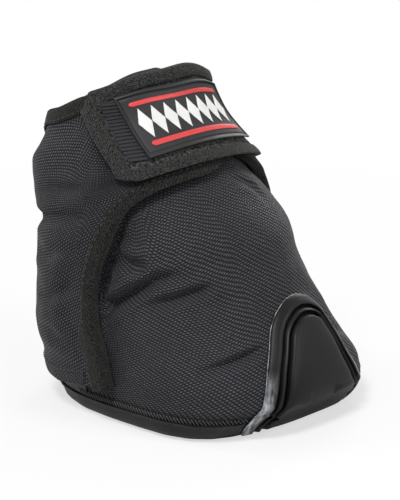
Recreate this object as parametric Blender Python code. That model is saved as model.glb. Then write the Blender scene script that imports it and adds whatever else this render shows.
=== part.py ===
"""A horse hoof boot: a rubber soled cup of padded fabric that closes with one wide strap.

The boot stands on the XY plane with its toe towards -Y and its origin under the middle of the sole.
Every layer lies on one smooth boot form. A place on the form is given by its turn round the boot
(0 at the toe, negative on the near side) and its height, and each layer by its distance out of the form.
"""
import math

import bmesh
import bpy
import numpy as np

# Driving sizes of the boot form, in metres
BOOT_HEIGHT = 0.150
SOLE_HALF_WIDTH = 0.060
TOE_REACH = 0.064
HEEL_REACH = 0.077

# Clearances
FIT_GAP = 0.0003
EDGE_GAP = 0.0005
GUARD_GAP = 0.0009
LAYER_GAP = 0.0007
FOOTBED_GAP = 0.0009
FOLD_GAP = 0.0008

# Sole
SOLE_THICKNESS = 0.0066
TREAD_DEPTH = 0.0025
TREAD_GROOVE = 0.0040
LAND_HALF_WIDTH = 0.022
LAND_HALF_LENGTH = 0.028
TREAD_PITCH = 0.014
RAND_WALL = 0.0028
RAND_BASE = 0.0008
RAND_LIP_REACH = 0.0009
RAND_LIP_HEIGHT = 0.0014
BOARD_THICKNESS = 0.0014
FOOTBED_THICKNESS = 0.0042
FOOTBED_EDGE_ROLL = 0.0012

# Upper layers
VAMP_SHELL = 0.0018
VAMP_LINING = 0.0029
VAMP_FRONT_DROP = 0.024
VAMP_SIDE_DROP = 0.038
VAMP_BOTTOM_RISE = 0.0006
WRAP_LINING = 0.0014
WRAP_SHELL = 0.0018
SIDE_SWELL = 0.0022
VAMP_SWELL = 0.0018
SWELL_FADE = 0.012
SWELL_MARGIN = 0.002
HEEL_LINING = 0.0044
HEEL_LINING_OUT = 0.0010
HEM_HEIGHT = 0.0125
COLLAR_HEEL_DROP = 0.034
COLLAR_SIDE_RISE = 0.003

# Binding tape
TAPE_THICKNESS = 0.0006
TAPE_WIDTH = 0.0065
STRAP_TAPE_WIDTH = 0.0050

# Strap
STRAP_BAND = 0.0018
STRAP_FRONT_DROP = 0.0375
STRAP_SIDE_DROP = 0.0530
STRAP_TOP_RISE = 0.0004
STRAP_CORNER = 0.0065
WEBBING_THICKNESS = 0.0008
WEBBING_MARGIN = 0.0072
BADGE_THICKNESS = 0.0014
BADGE_RIM = 0.0009
BADGE_RIM_WIDTH = 0.0016
BADGE_RIM_SLOPE = 0.0007
BADGE_MARGIN = 0.0076
HOOK_THICKNESS = 0.0006
HOOK_MARGIN = 0.0010
HOOK_HALF_HEIGHT = 0.0110
LOOP_THICKNESS = 0.0006
STRAP_HINGE_OUT = 0.0010

# Toe guard
GUARD_TOP = 0.0570
GUARD_BOTTOM = 0.0012
GUARD_HALF_WIDTH = 0.035
GUARD_FLANGE = 0.0012
GUARD_FLANGE_WIDTH = 0.0036
GUARD_RIDGE = 0.0042
GUARD_RIDGE_WIDTH = 0.0024
GUARD_GROOVE = 0.0021
GUARD_GROOVE_WIDTH = 0.0022
GUARD_PANEL = 0.0030
GUARD_RAMP = 0.0008

# Axis of each wing's fold, outside the fabric
FOLD_AXIS_OUT = 0.0085

# Turns round the boot, in degrees
VAMP_REAR_TURN = 108.0
FOLD_LOW_TURN = 96.0
FOLD_TOP_TURN = 92.0
STRAP_HINGE_TURN = 50.0
STRAP_ANCHOR_TURN = 82.0
STRAP_END_LOW_TURN = -62.0
STRAP_END_TOP_TURN = -90.0
BADGE_START_TURN = -40.0
BADGE_END_TURN = 44.0
WEBBING_START_TURN = -51.0
HOOK_END_TURN = -20.0
GUARD_LIP_TURN = 40.0

# Boot form: height, half width, toe, middle and heel as shares of the driving sizes, then the roundness
# of the toe across and along the boot, and of the heel
FORM_SHARES = np.array((
    (0.000, 0.955, 0.852, 0.000, 0.779, 2.4, 2.40, 2.80),
    (0.033, 0.995, 0.938, 0.013, 0.818, 2.4, 2.40, 2.80),
    (0.080, 1.000, 0.989, 0.026, 0.844, 2.4, 2.30, 2.80),
    (0.133, 0.993, 1.000, 0.091, 0.870, 2.3, 2.10, 2.75),
    (0.200, 0.983, 0.960, 0.156, 0.883, 2.2, 1.88, 2.70),
    (0.300, 0.967, 0.851, 0.221, 0.883, 2.1, 1.36, 2.65),
    (0.380, 0.943, 0.733, 0.273, 0.883, 2.0, 1.30, 2.60),
    (0.453, 0.912, 0.614, 0.312, 0.896, 2.0, 1.34, 2.60),
    (0.533, 0.867, 0.516, 0.338, 0.916, 2.0, 1.48, 2.70),
    (0.633, 0.783, 0.266, 0.390, 0.948, 2.0, 1.57, 3.00),
    (0.720, 0.667, 0.034, 0.442, 0.987, 2.0, 1.98, 3.50),
    (0.867, 0.500, -0.312, 0.519, 1.000, 2.0, 2.00, 3.30),
    (1.000, 0.450, -0.453, 0.571, 0.974, 2.0, 2.00, 2.80),
))

# Front edge of each wing, from its foot up: turn in degrees, height as a share of the boot's
NEAR_EDGE_SHARES = (
    (-89.0, 0.110), (-86.2, 0.190), (-83.0, 0.280), (-78.5, 0.370), (-73.0, 0.480), (-70.0, 0.540),
    (-64.0, 0.597), (-55.0, 0.645), (-42.5, 0.680), (-25.5, 0.702), (-10.0, 0.714), (1.0, 0.735),
    (8.0, 0.780), (10.5, 0.845), (8.0, 0.905), (0.0, 0.955),
)
FAR_EDGE_SHARES = (
    (89.0, 0.110), (86.2, 0.190), (83.0, 0.280), (78.5, 0.370), (73.0, 0.480), (70.0, 0.540),
    (64.0, 0.597), (56.0, 0.645), (47.5, 0.675), (38.0, 0.700), (29.0, 0.730), (24.0, 0.775),
    (21.5, 0.830), (22.0, 0.885), (25.5, 0.930), (32.0, 0.952),
)

# Main folds and swellings of the padded cloth: each one's start and end as a turn and a share of the
# height, its reach as a share of the height and its rise as a share of the panel's swelling
SIDE_FOLD_SHARES = (
    (86.0, 0.575, 150.0, 0.530, 0.040, -1.25),
    (110.0, 0.705, 180.0, 0.700, 0.090, 0.50),
)
VAMP_FOLD_SHARES = (
    (77.0, 0.312, 39.0, 0.405, 0.038, -1.40),
    (46.0, 0.195, 24.0, 0.240, 0.032, -0.80),
)

# Outline of the toe guard: height as a share of its top, half width as a share of its widest
GUARD_OUTLINE_SHARES = (
    (0.00, 0.96), (0.12, 1.00), (0.33, 0.860), (0.53, 0.700), (0.74, 0.550), (0.90, 0.350),
    (0.975, 0.170), (1.00, 0.0),
)

# Rows of a tall panel, closer together where the form draws in under the strap
ROW_SHARES = np.array((0.0, 0.07, 0.17, 0.27, 0.36, 0.45, 0.54, 0.63, 0.71, 0.79, 0.86, 0.93, 1.0))

# Rings of the toe guard's flat panel, drawn in towards its foot
PANEL_RING_SHARES = (0.74, 0.50, 0.32, 0.19, 0.08)

# Share of a wing's collar over which its height runs from the tip into the boot's top edge
TIP_BLEND_SHARE = 1 / 6

# Rounding of the strap's free end, as shares of its corner
CORNER_RUN_SHARE = 1.4
CORNER_SIDE_SHARE = 0.5
CORNER_TOP_SHARE = 0.25
CORNER_TURN_SHARE = 1 / 3
CORNER_RISE_SHARE = 0.6

# Steps used to measure how the form runs at a place: a turn in degrees and a share of the height
PROBE_TURN = 0.2
PROBE_HEIGHT_SHARE = 0.002

# Layers, as distances out of the boot form
WING_TAPE_IN = LAYER_GAP
WRAP_LINING_IN = WING_TAPE_IN + TAPE_THICKNESS + EDGE_GAP
WRAP_SHELL_IN = WRAP_LINING_IN + WRAP_LINING + EDGE_GAP
WRAP_SHELL_OUT = WRAP_SHELL_IN + WRAP_SHELL
WING_TAPE_OUT = WRAP_SHELL_OUT + EDGE_GAP + TAPE_THICKNESS
LOOP_IN = WRAP_SHELL_OUT + FIT_GAP
HOOK_IN = WING_TAPE_OUT + FIT_GAP
STRAP_TAPE_IN = WING_TAPE_OUT + EDGE_GAP
STRAP_BAND_IN = STRAP_TAPE_IN + TAPE_THICKNESS + EDGE_GAP
STRAP_BAND_OUT = STRAP_BAND_IN + STRAP_BAND
STRAP_TAPE_OUT = STRAP_BAND_OUT + EDGE_GAP + TAPE_THICKNESS
WEBBING_IN = STRAP_BAND_OUT + LAYER_GAP
WEBBING_OUT = WEBBING_IN + WEBBING_THICKNESS
BADGE_IN = WEBBING_OUT + FIT_GAP
BADGE_FACE = BADGE_IN + BADGE_THICKNESS
RAND_TOP = SOLE_THICKNESS + FIT_GAP + BOARD_THICKNESS
UPPER_BOTTOM = RAND_TOP + VAMP_BOTTOM_RISE

# Heights that follow the boot's own height
COLLAR_FRONT_TOP = BOOT_HEIGHT
COLLAR_HEEL_TOP = BOOT_HEIGHT - COLLAR_HEEL_DROP
VAMP_FRONT_TOP = BOOT_HEIGHT - VAMP_FRONT_DROP
VAMP_SIDE_TOP = BOOT_HEIGHT - VAMP_SIDE_DROP
STRAP_FRONT_LOW = BOOT_HEIGHT - STRAP_FRONT_DROP
STRAP_SIDE_LOW = BOOT_HEIGHT - STRAP_SIDE_DROP


def slopes(x, y):
    """Slopes of the smooth curve through the points, with no overshoot between them."""
    step = np.diff(x)
    rise = np.diff(y) / step
    slope = np.empty_like(y)
    slope[0] = rise[0]
    slope[-1] = rise[-1]
    for i in range(1, len(y) - 1):
        before, after = rise[i - 1], rise[i]
        if before * after <= 0:
            slope[i] = 0
            continue
        near = 2 * step[i] + step[i - 1]
        far = step[i] + 2 * step[i - 1]
        slope[i] = (near + far) / (near / before + far / after)
    return slope


def smooth_read(x, y, slope, at):
    """Read the smooth curve through x, y at the places asked for."""
    k = np.clip(np.searchsorted(x, at) - 1, 0, len(x) - 2)
    step = x[k + 1] - x[k]
    t = (at - x[k]) / step
    return (y[k] * (1 + 2 * t) * (1 - t) ** 2 + y[k + 1] * t * t * (3 - 2 * t)
            + slope[k] * step * t * (1 - t) ** 2 - slope[k + 1] * step * t * t * (1 - t))


FORM_SLOPES = [slopes(FORM_SHARES[:, 0], FORM_SHARES[:, k]) for k in range(1, 8)]


def section(height):
    """Half width, toe, middle and heel places and the three roundnesses of the form at a height."""
    share = np.asarray(height, float) / BOOT_HEIGHT
    rows = [smooth_read(FORM_SHARES[:, 0], FORM_SHARES[:, k + 1], FORM_SLOPES[k], share)
            for k in range(7)]
    return (rows[0] * SOLE_HALF_WIDTH, -rows[1] * TOE_REACH, rows[2] * HEEL_REACH,
            rows[3] * HEEL_REACH, rows[4], rows[5], rows[6])


def skin(turn, height, out=0.0):
    """Points of the boot form at a turn in degrees and a height, moved out of it level."""
    angle = np.radians(turn)
    half, toe, middle, heel, toe_across, toe_along, round_heel = section(height)
    sine, cosine = np.sin(angle), np.cos(angle)
    depth = np.where(cosine > 0, middle - toe, heel - middle)
    wide = np.where(cosine > 0, toe_across, round_heel)
    deep = np.where(cosine > 0, toe_along, round_heel)
    x = half * np.sign(sine) * np.abs(sine) ** (2 / wide)
    y = middle - depth * np.sign(cosine) * np.abs(cosine) ** (2 / deep)
    across = wide * np.sign(x) * (np.abs(x) / half) ** (wide - 1) / half
    along = deep * np.sign(y - middle) * (np.abs(y - middle) / depth) ** (deep - 1) / depth
    length = np.hypot(across, along)
    return np.stack((x + out * across / length, y + out * along / length,
                     height + 0.0 * x), axis=-1)


def turn_at(half_width, height):
    """Turn on the toe side where the form is that far from its middle plane."""
    half, _, _, _, toe_across, _, _ = section(height)
    share = np.clip(np.abs(half_width) / half, 0, 1)
    return np.sign(half_width) * np.degrees(np.arcsin(share ** (toe_across / 2)))


def turn_of(length):
    """Turn in degrees that a length spans on the boot's side."""
    return math.degrees(length / SOLE_HALF_WIDTH)


def turn_step(length, turn, height):
    """Turn in degrees that a length spans at one place on the form."""
    turns = np.array((turn - PROBE_TURN, turn + PROBE_TURN))
    run = np.diff(skin(turns, np.full(2, height)), axis=0)
    return length * 2 * PROBE_TURN / np.linalg.norm(run)


def through(points, count):
    """Evenly read points on a smooth curve through the given (turn, height) points."""
    points = np.array(points, float)
    place = np.linspace(0, 1, len(points))
    at = np.linspace(0, 1, count)
    return np.stack([smooth_read(place, points[:, k], slopes(place, points[:, k]), at)
                     for k in range(2)], axis=-1)


def move_in(path, distance, side, out=0.0):
    """Move a (turn, height) path sideways over the form by a real distance."""
    turn, height = path[:, 0], path[:, 1]
    rise = BOOT_HEIGHT * PROBE_HEIGHT_SHARE
    by_turn = skin(turn + PROBE_TURN, height, out) - skin(turn - PROBE_TURN, height, out)
    by_turn /= 2 * PROBE_TURN
    by_height = skin(turn, height + rise, out) - skin(turn, height - rise, out)
    by_height /= 2 * rise
    run = np.gradient(skin(turn, height, out), axis=0)
    normal = np.cross(by_turn, by_height)
    aim = np.cross(normal, run) * side
    aim /= np.linalg.norm(aim, axis=1)[:, None]
    tt = np.einsum("ij,ij->i", by_turn, by_turn)
    hh = np.einsum("ij,ij->i", by_height, by_height)
    th = np.einsum("ij,ij->i", by_turn, by_height)
    at = np.einsum("ij,ij->i", by_turn, aim)
    ah = np.einsum("ij,ij->i", by_height, aim)
    det = tt * hh - th * th
    turned = (at * hh - ah * th) / det
    raised = (ah * tt - at * th) / det
    return np.stack((turn + distance * turned, height + distance * raised), axis=-1)


def collar_top(turn):
    """Height of the boot's top edge round the boot."""
    angle = np.radians(turn)
    middle = (COLLAR_FRONT_TOP + COLLAR_HEEL_TOP) / 2
    swing = (COLLAR_FRONT_TOP - COLLAR_HEEL_TOP) / 2
    return middle + swing * np.cos(angle) + COLLAR_SIDE_RISE * np.sin(angle) ** 2


def strap_low(turn):
    """Height of the strap's lower edge round the boot."""
    return STRAP_SIDE_LOW + (STRAP_FRONT_LOW - STRAP_SIDE_LOW) * np.cos(np.radians(turn))


def material(name, colour, roughness, metallic=0.0):
    """A plain surface of one colour."""
    new = bpy.data.materials.new(name)
    new.use_nodes = True
    shader = new.node_tree.nodes["Principled BSDF"]
    shader.inputs["Base Color"].default_value = (*colour, 1.0)
    shader.inputs["Roughness"].default_value = roughness
    shader.inputs["Metallic"].default_value = metallic
    new.diffuse_color = (*colour, 1.0)
    return new


def add_object(name, verts, faces, look, parent=None, sharp=50.0):
    """Make one closed object from its points and faces, all facing out."""
    mesh = bpy.data.meshes.new(name)
    shift = parent.location if parent else (0, 0, 0)
    points = [tuple(v[k] - shift[k] for k in range(3)) for v in verts]
    mesh.from_pydata(points, [], faces)
    build = bmesh.new()
    build.from_mesh(mesh)
    bmesh.ops.recalc_face_normals(build, faces=build.faces)
    bmesh.ops.triangulate(build, faces=[f for f in build.faces if len(f.verts) > 4])
    build.to_mesh(mesh)
    build.free()
    mesh.materials.append(look)
    mesh.shade_smooth()
    mesh.set_sharp_from_angle(angle=math.radians(sharp))
    item = bpy.data.objects.new(name, mesh)
    bpy.context.collection.objects.link(item)
    if parent:
        item.parent = parent
    return item


def panel(name, turn, height, inner, outer, look, parent=None, ring=False):
    """A panel of the upper: a grid of places with an inner and an outer face and closed edges."""
    rows, columns = turn.shape
    verts = np.concatenate((skin(turn, height, outer).reshape(-1, 3),
                            skin(turn, height, inner).reshape(-1, 3)))
    count = rows * columns
    last = columns if ring else columns - 1
    faces = []
    for i in range(rows - 1):
        for j in range(last):
            a, b = i * columns + j, i * columns + (j + 1) % columns
            c, d = b + columns, a + columns
            faces.append((a, b, c, d))
            faces.append((count + a, count + d, count + c, count + b))
    for j in range(last):
        k = (j + 1) % columns
        top = (rows - 1) * columns
        faces.append((k, j, count + j, count + k))
        faces.append((top + j, top + k, count + top + k, count + top + j))
    if not ring:
        for i in range(rows - 1):
            a, b = i * columns, (i + 1) * columns
            c, d = a + columns - 1, b + columns - 1
            faces.append((a, b, count + b, count + a))
            faces.append((d, c, count + c, count + d))
    return add_object(name, verts, faces, look, parent)


def sweep(name, rings, look, parent=None, closed=False):
    """A strip with one outline carried along a path: rings is path by outline by xyz."""
    count, size = rings.shape[:2]
    verts = rings.reshape(-1, 3)
    faces = []
    for i in range(count if closed else count - 1):
        for j in range(size):
            a, b = i * size + j, i * size + (j + 1) % size
            c, d = (b + size) % (count * size), (a + size) % (count * size)
            faces.append((a, b, c, d))
    if not closed:
        faces.append(tuple(range(size - 1, -1, -1)))
        faces.append(tuple(range((count - 1) * size, count * size)))
    return add_object(name, verts, faces, look, parent)


def tape_rings(path, side, inner, outer, width, closed=False):
    """A folded binding tape: a U that clasps the edge of a panel along the path."""
    wall = TAPE_THICKNESS
    outline = (
        (width, outer), (0.0, outer), (-wall / 2, (inner + outer) / 2), (0.0, inner), (width, inner),
        (width, inner + wall), (wall, inner + wall), (wall, outer - wall), (width, outer - wall),
    )
    rings = []
    for reach, out in outline:
        moved = move_in(path, reach, side)
        rings.append(skin(moved[:, 0], moved[:, 1], out))
    return np.stack(rings, axis=1)


def patch(left, right, low, top):
    """Fill a four sided outline with a grid of places; each side is a list of (turn, height)."""
    rows, columns = len(left), len(low)
    v = np.linspace(0, 1, rows)[:, None, None]
    u = np.linspace(0, 1, columns)[None, :, None]
    sides = (1 - u) * left[:, None] + u * right[:, None]
    ends = (1 - v) * low[None] + v * top[None]
    corners = ((1 - u) * (1 - v) * low[0] + u * (1 - v) * low[-1]
               + (1 - u) * v * top[0] + u * v * top[-1])
    grid = sides + ends - corners
    return grid[..., 0], grid[..., 1]


def seam_fade(turn, height, seams, margin):
    """How far padded cloth has risen from its sewn edges, from 0 near a seam to 1 away from it."""
    places = skin(turn, height)
    line = skin(seams[:, 0], seams[:, 1])
    gap = np.linalg.norm(places[..., None, :] - line, axis=-1).min(axis=-1)
    share = np.clip((gap - margin) / SWELL_FADE, 0, 1)
    return share * share * (3 - 2 * share)


def folds(turn, height, fold_shares):
    """Rise of the main folds and swellings of the cloth, as a share of the panel's swelling."""
    round_boot = np.abs((turn + 180) % 360 - 180)
    place = np.stack((np.radians(round_boot) * SOLE_HALF_WIDTH, height), axis=-1)
    rise = 0 * height
    for start_turn, start_share, end_turn, end_share, reach_share, rise_share in fold_shares:
        start = np.array((math.radians(start_turn) * SOLE_HALF_WIDTH, start_share * BOOT_HEIGHT))
        end = np.array((math.radians(end_turn) * SOLE_HALF_WIDTH, end_share * BOOT_HEIGHT))
        run = end - start
        along = np.clip((place - start) @ run / (run @ run), 0, 1)
        gap = np.linalg.norm(place - start - along[..., None] * run, axis=-1)
        rise = rise + rise_share * np.exp(-(gap / (reach_share * BOOT_HEIGHT)) ** 2)
    return rise


def side_relief(turn, height, seams):
    """Swelling and main folds of the sides, flat along the seams and under the strap."""
    fade = seam_fade(turn, height, seams, TAPE_WIDTH + SWELL_MARGIN)
    round_boot = np.abs((turn + 180) % 360 - 180)
    clear = np.clip((strap_low(turn) - height) / SWELL_MARGIN, 0, 1)
    clear = np.where(round_boot < FOLD_LOW_TURN, clear, 1)
    rise = SIDE_SWELL * fade * clear * (1 + folds(turn, height, SIDE_FOLD_SHARES))
    return np.maximum(rise, -WRAP_SHELL / 2)


def line_between(start, end, count):
    """Evenly spaced (turn, height) places from one to the other."""
    return np.stack([np.linspace(start[k], end[k], count) for k in range(2)], axis=-1)


def sole_outline(inset, height, count=44):
    """Outline of the sole at a height, set in from the boot form."""
    turn = np.linspace(-180, 180, count, endpoint=False)
    return skin(turn, np.full(count, height), -inset)


def box(name, low, high):
    """A plain block between two corners, used to cut with."""
    verts = [(x, y, z) for x in (low[0], high[0]) for y in (low[1], high[1]) for z in (low[2], high[2])]
    faces = [(0, 1, 3, 2), (4, 6, 7, 5), (0, 4, 5, 1), (2, 3, 7, 6), (0, 2, 6, 4), (1, 5, 7, 3)]
    item = add_object(name, np.array(verts), faces, None)
    item.hide_render = True
    item.display_type = "WIRE"
    return item


def cut(item, cutter):
    """Cut one object with another."""
    step = item.modifiers.new(cutter.name, "BOOLEAN")
    step.operation = "DIFFERENCE"
    step.solver = "EXACT"
    step.object = cutter


def loft(name, outlines, look):
    """A solid through level outlines, closed flat at both ends."""
    size = len(outlines[0])
    verts = np.concatenate(outlines)
    faces = []
    for i in range(len(outlines) - 1):
        for j in range(size):
            a, b = i * size + j, i * size + (j + 1) % size
            faces.append((a, b, b + size, a + size))
    faces.append(tuple(range(size - 1, -1, -1)))
    faces.append(tuple(range((len(outlines) - 1) * size, len(outlines) * size)))
    return add_object(name, verts, faces, look)


def make_outsole(look):
    """Moulded rubber outsole with blocks of tread round one flat land."""
    inset = RAND_WALL + EDGE_GAP
    step = SOLE_THICKNESS / 2
    sole = loft("outsole", [sole_outline(inset, h) for h in (0.0, step, SOLE_THICKNESS)], look)
    reach = HEEL_REACH + TOE_REACH
    across = SOLE_HALF_WIDTH * 2
    half = TREAD_GROOVE / 2
    overrun = TREAD_DEPTH
    for sign in (-1, 1):
        x = sign * (LAND_HALF_WIDTH + half)
        cut(sole, box(f"groove_long_{sign}", (x - half, -reach, -overrun), (x + half, reach, TREAD_DEPTH)))
        for k in range(2):
            y = sign * (LAND_HALF_LENGTH + half + k * TREAD_PITCH)
            low = (-across, y - half, -overrun)
            cut(sole, box(f"groove_cross_{sign}_{k}", low, (across, y + half, TREAD_DEPTH)))
        for k in (-1, 0, 1):
            y = k * TREAD_PITCH
            ends = sorted((sign * (LAND_HALF_WIDTH + half), sign * across))
            low = (ends[0], y - half, -overrun)
            cut(sole, box(f"groove_side_{sign}_{k}", low, (ends[1], y + half, TREAD_DEPTH)))
    return sole


def make_rand(look):
    """Rubber band round the sole, with a thin lip on top that fades out under the toe guard."""
    turn = np.linspace(-180, 180, 44, endpoint=False)
    fade = np.clip((np.abs(turn) - GUARD_LIP_TURN) / GUARD_LIP_TURN, 0, 1)
    lip = RAND_LIP_REACH * fade
    lip_foot = RAND_TOP - RAND_LIP_HEIGHT
    middle = (RAND_BASE + lip_foot) / 2
    outline = (
        (RAND_BASE, -RAND_WALL + 0 * lip), (RAND_BASE, 0 * lip), (middle, 0 * lip), (lip_foot, 0 * lip),
        (lip_foot + RAND_LIP_HEIGHT / 4, lip), (RAND_TOP, lip), (RAND_TOP, -RAND_WALL + 0 * lip),
        (middle, -RAND_WALL + 0 * lip),
    )
    rings = np.stack([skin(turn, np.full(len(turn), h), out) for h, out in outline], axis=1)
    return sweep("sole_rand", rings, look, closed=True)


def make_board(look):
    """Stiff board between the rubber sole and the footbed."""
    low = SOLE_THICKNESS + FIT_GAP
    inset = RAND_WALL + EDGE_GAP
    return loft("midsole_board", [sole_outline(inset, h) for h in (low, low + BOARD_THICKNESS)], look)


def make_footbed(look):
    """Foam footbed that the hoof stands on, with a rolled top edge."""
    inset = VAMP_SHELL + EDGE_GAP + VAMP_LINING + FOOTBED_GAP
    low = RAND_TOP + FIT_GAP
    top = low + FOOTBED_THICKNESS
    rows = [sole_outline(inset, low), sole_outline(inset, top - FOOTBED_EDGE_ROLL)]
    rows.append(sole_outline(inset + FOOTBED_EDGE_ROLL / 3, top - FOOTBED_EDGE_ROLL / 3))
    rows.append(sole_outline(inset + FOOTBED_EDGE_ROLL, top))
    return loft("footbed", rows, look)


def vamp_top(turn):
    """Height of the vamp's top edge round the boot."""
    return VAMP_SIDE_TOP + (VAMP_FRONT_TOP - VAMP_SIDE_TOP) * np.cos(np.radians(turn))


def upright_grid(start, end, low, top, rows, columns):
    """A grid between two end turns and two edge heights; each may be a value or a rule.

    rows is a count of even rows, or the rows' shares of the way up.
    """
    v = (np.linspace(0, 1, rows) if isinstance(rows, int) else rows)[:, None]
    u = np.linspace(0, 1, columns)[None, :]
    first = start(v) if callable(start) else start
    last = end(v) if callable(end) else end
    turn = first * (1 - u) + last * u + 0 * v
    bottom = low(turn) if callable(low) else low
    ceiling = top(turn) if callable(top) else top
    return turn, bottom * (1 - v) + ceiling * v


def make_vamp(fabric, foam, tape):
    """Front of the upper: a fabric shell, its foam lining and the tape on its top edge."""
    back = TAPE_THICKNESS + FIT_GAP
    top = lambda turn: vamp_top(turn) - back
    turn, height = upright_grid(-VAMP_REAR_TURN, VAMP_REAR_TURN, UPPER_BOTTOM, top, ROW_SHARES, 23)
    panel("vamp_shell", turn, height, -VAMP_SHELL, vamp_relief(turn, height), fabric)
    out = -VAMP_SHELL - EDGE_GAP
    panel("vamp_lining", turn[:-1], height[:-1], out - VAMP_LINING, out, foam)
    turn = np.linspace(-VAMP_REAR_TURN, VAMP_REAR_TURN, 23)
    path = np.stack((turn, vamp_top(turn)), axis=-1)
    inner = -VAMP_SHELL - FIT_GAP - TAPE_THICKNESS
    rings = vamp_tape_rings(path, inner)
    sweep("vamp_top_binding", rings, tape)


def vamp_relief(turn, height):
    """Swelling and main folds of the vamp where it shows, flat at its seams and under other pieces."""
    near = through([(t, s * BOOT_HEIGHT) for t, s in NEAR_EDGE_SHARES], 40)
    far = through([(t, s * BOOT_HEIGHT) for t, s in FAR_EDGE_SHARES], 40)
    guard = guard_edge(13)
    foot = line_between((-VAMP_REAR_TURN, UPPER_BOTTOM), (VAMP_REAR_TURN, UPPER_BOTTOM), 60)
    fade = seam_fade(turn, height, np.concatenate((near, far, guard, foot)), SWELL_MARGIN)
    left = np.interp(height, near[:, 1], near[:, 0])
    right = np.interp(height, far[:, 1], far[:, 0])
    half = len(guard) // 2 + 1
    guarded = (np.abs(turn) < np.interp(height, guard[:half, 1], -guard[:half, 0])) & (height < GUARD_TOP)
    shown = (turn > left) & (turn < right) & ~guarded
    rise = VAMP_SWELL * fade * shown * (1 + folds(turn, height, VAMP_FOLD_SHARES))
    return np.maximum(rise, -VAMP_SHELL / 2)


def vamp_tape_rings(path, inner):
    """Tape on the vamp's top edge: a thin cap over the edge with one leg inside it."""
    wall = TAPE_THICKNESS
    outline = ((0.0, 0.0), (0.0, inner), (TAPE_WIDTH, inner), (TAPE_WIDTH, inner + wall),
               (wall, inner + wall), (wall, 0.0))
    rings = []
    for reach, out in outline:
        rings.append(skin(path[:, 0], path[:, 1] - reach, out))
    return np.stack(rings, axis=1)


def guard_edge(count):
    """Edge of the toe guard as (turn, height) places, from its near foot over the top to its far foot."""
    shares = through(GUARD_OUTLINE_SHARES, count)
    height = GUARD_BOTTOM + (GUARD_TOP - GUARD_BOTTOM) * shares[:, 0]
    turn = turn_at(GUARD_HALF_WIDTH * shares[:, 1], height)
    left = np.stack((-turn, height), axis=-1)
    right = np.stack((turn, height), axis=-1)[::-1][1:]
    return np.concatenate((left, right))


def make_guard(look):
    """Moulded rubber toe guard: a flange, two raised ribs that follow its arch, and a flat panel."""
    edge = guard_edge(13)
    steps = (
        (0.0, GUARD_FLANGE), (GUARD_FLANGE_WIDTH, GUARD_FLANGE), (GUARD_RAMP, GUARD_RIDGE),
        (GUARD_RIDGE_WIDTH, GUARD_RIDGE), (GUARD_RAMP, GUARD_GROOVE), (GUARD_GROOVE_WIDTH, GUARD_GROOVE),
        (GUARD_RAMP, GUARD_RIDGE), (GUARD_RIDGE_WIDTH, GUARD_RIDGE), (GUARD_RAMP, GUARD_PANEL),
    )
    rows = []
    reach = 0.0
    for width, out in steps:
        reach += width
        moved = move_in(edge, reach, -1)
        moved[0, 1] = moved[-1, 1] = GUARD_BOTTOM
        moved[:, 1] = np.maximum(moved[:, 1], GUARD_BOTTOM)
        rows.append((moved, out))
    inner_edge = rows[-1][0]
    for share in PANEL_RING_SHARES:
        moved = inner_edge.copy()
        moved[:, 0] *= share
        moved[:, 1] = GUARD_BOTTOM + (moved[:, 1] - GUARD_BOTTOM) * share
        rows.append((moved, GUARD_PANEL))
    count = len(edge)
    top = [skin(m[:, 0], m[:, 1], GUARD_GAP + out) for m, out in rows]
    under = [skin(m[:, 0], m[:, 1], GUARD_GAP) for m, _ in rows]
    centre = skin(np.zeros(1), np.full(1, GUARD_BOTTOM), GUARD_GAP + GUARD_PANEL)
    centre_under = skin(np.zeros(1), np.full(1, GUARD_BOTTOM), GUARD_GAP)
    verts = np.concatenate(top + [centre] + under + [centre_under])
    layer = len(rows) * count + 1
    faces = []
    for i in range(len(rows) - 1):
        for j in range(count - 1):
            a = i * count + j
            faces.append((a, a + 1, a + 1 + count, a + count))
            faces.append((layer + a + count, layer + a + 1 + count, layer + a + 1, layer + a))
        for a in (i * count, i * count + count - 1):
            faces.append((a, a + count, layer + a + count, layer + a))
    last = (len(rows) - 1) * count
    for j in range(count - 1):
        faces.append((last + j, last + j + 1, layer - 1))
        faces.append((layer + last + j + 1, layer + last + j, 2 * layer - 1))
        faces.append((j + 1, j, layer + j, layer + j + 1))
    for a in (last, last + count - 1):
        faces.append((a, layer - 1, 2 * layer - 1, layer + a))
    return add_object("toe_guard", verts, faces, look, sharp=35.0)


def fold_turn(height):
    """Turn of the line where each wing folds, from the hem up to the collar."""
    share = (height - HEM_HEIGHT) / (COLLAR_FRONT_TOP - HEM_HEIGHT)
    return FOLD_LOW_TURN + (FOLD_TOP_TURN - FOLD_LOW_TURN) * share


def heel_start(height):
    """Turn where the heel panel begins, a small gap behind the fold."""
    return fold_turn(height) + turn_of(2 * FOLD_GAP)


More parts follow.
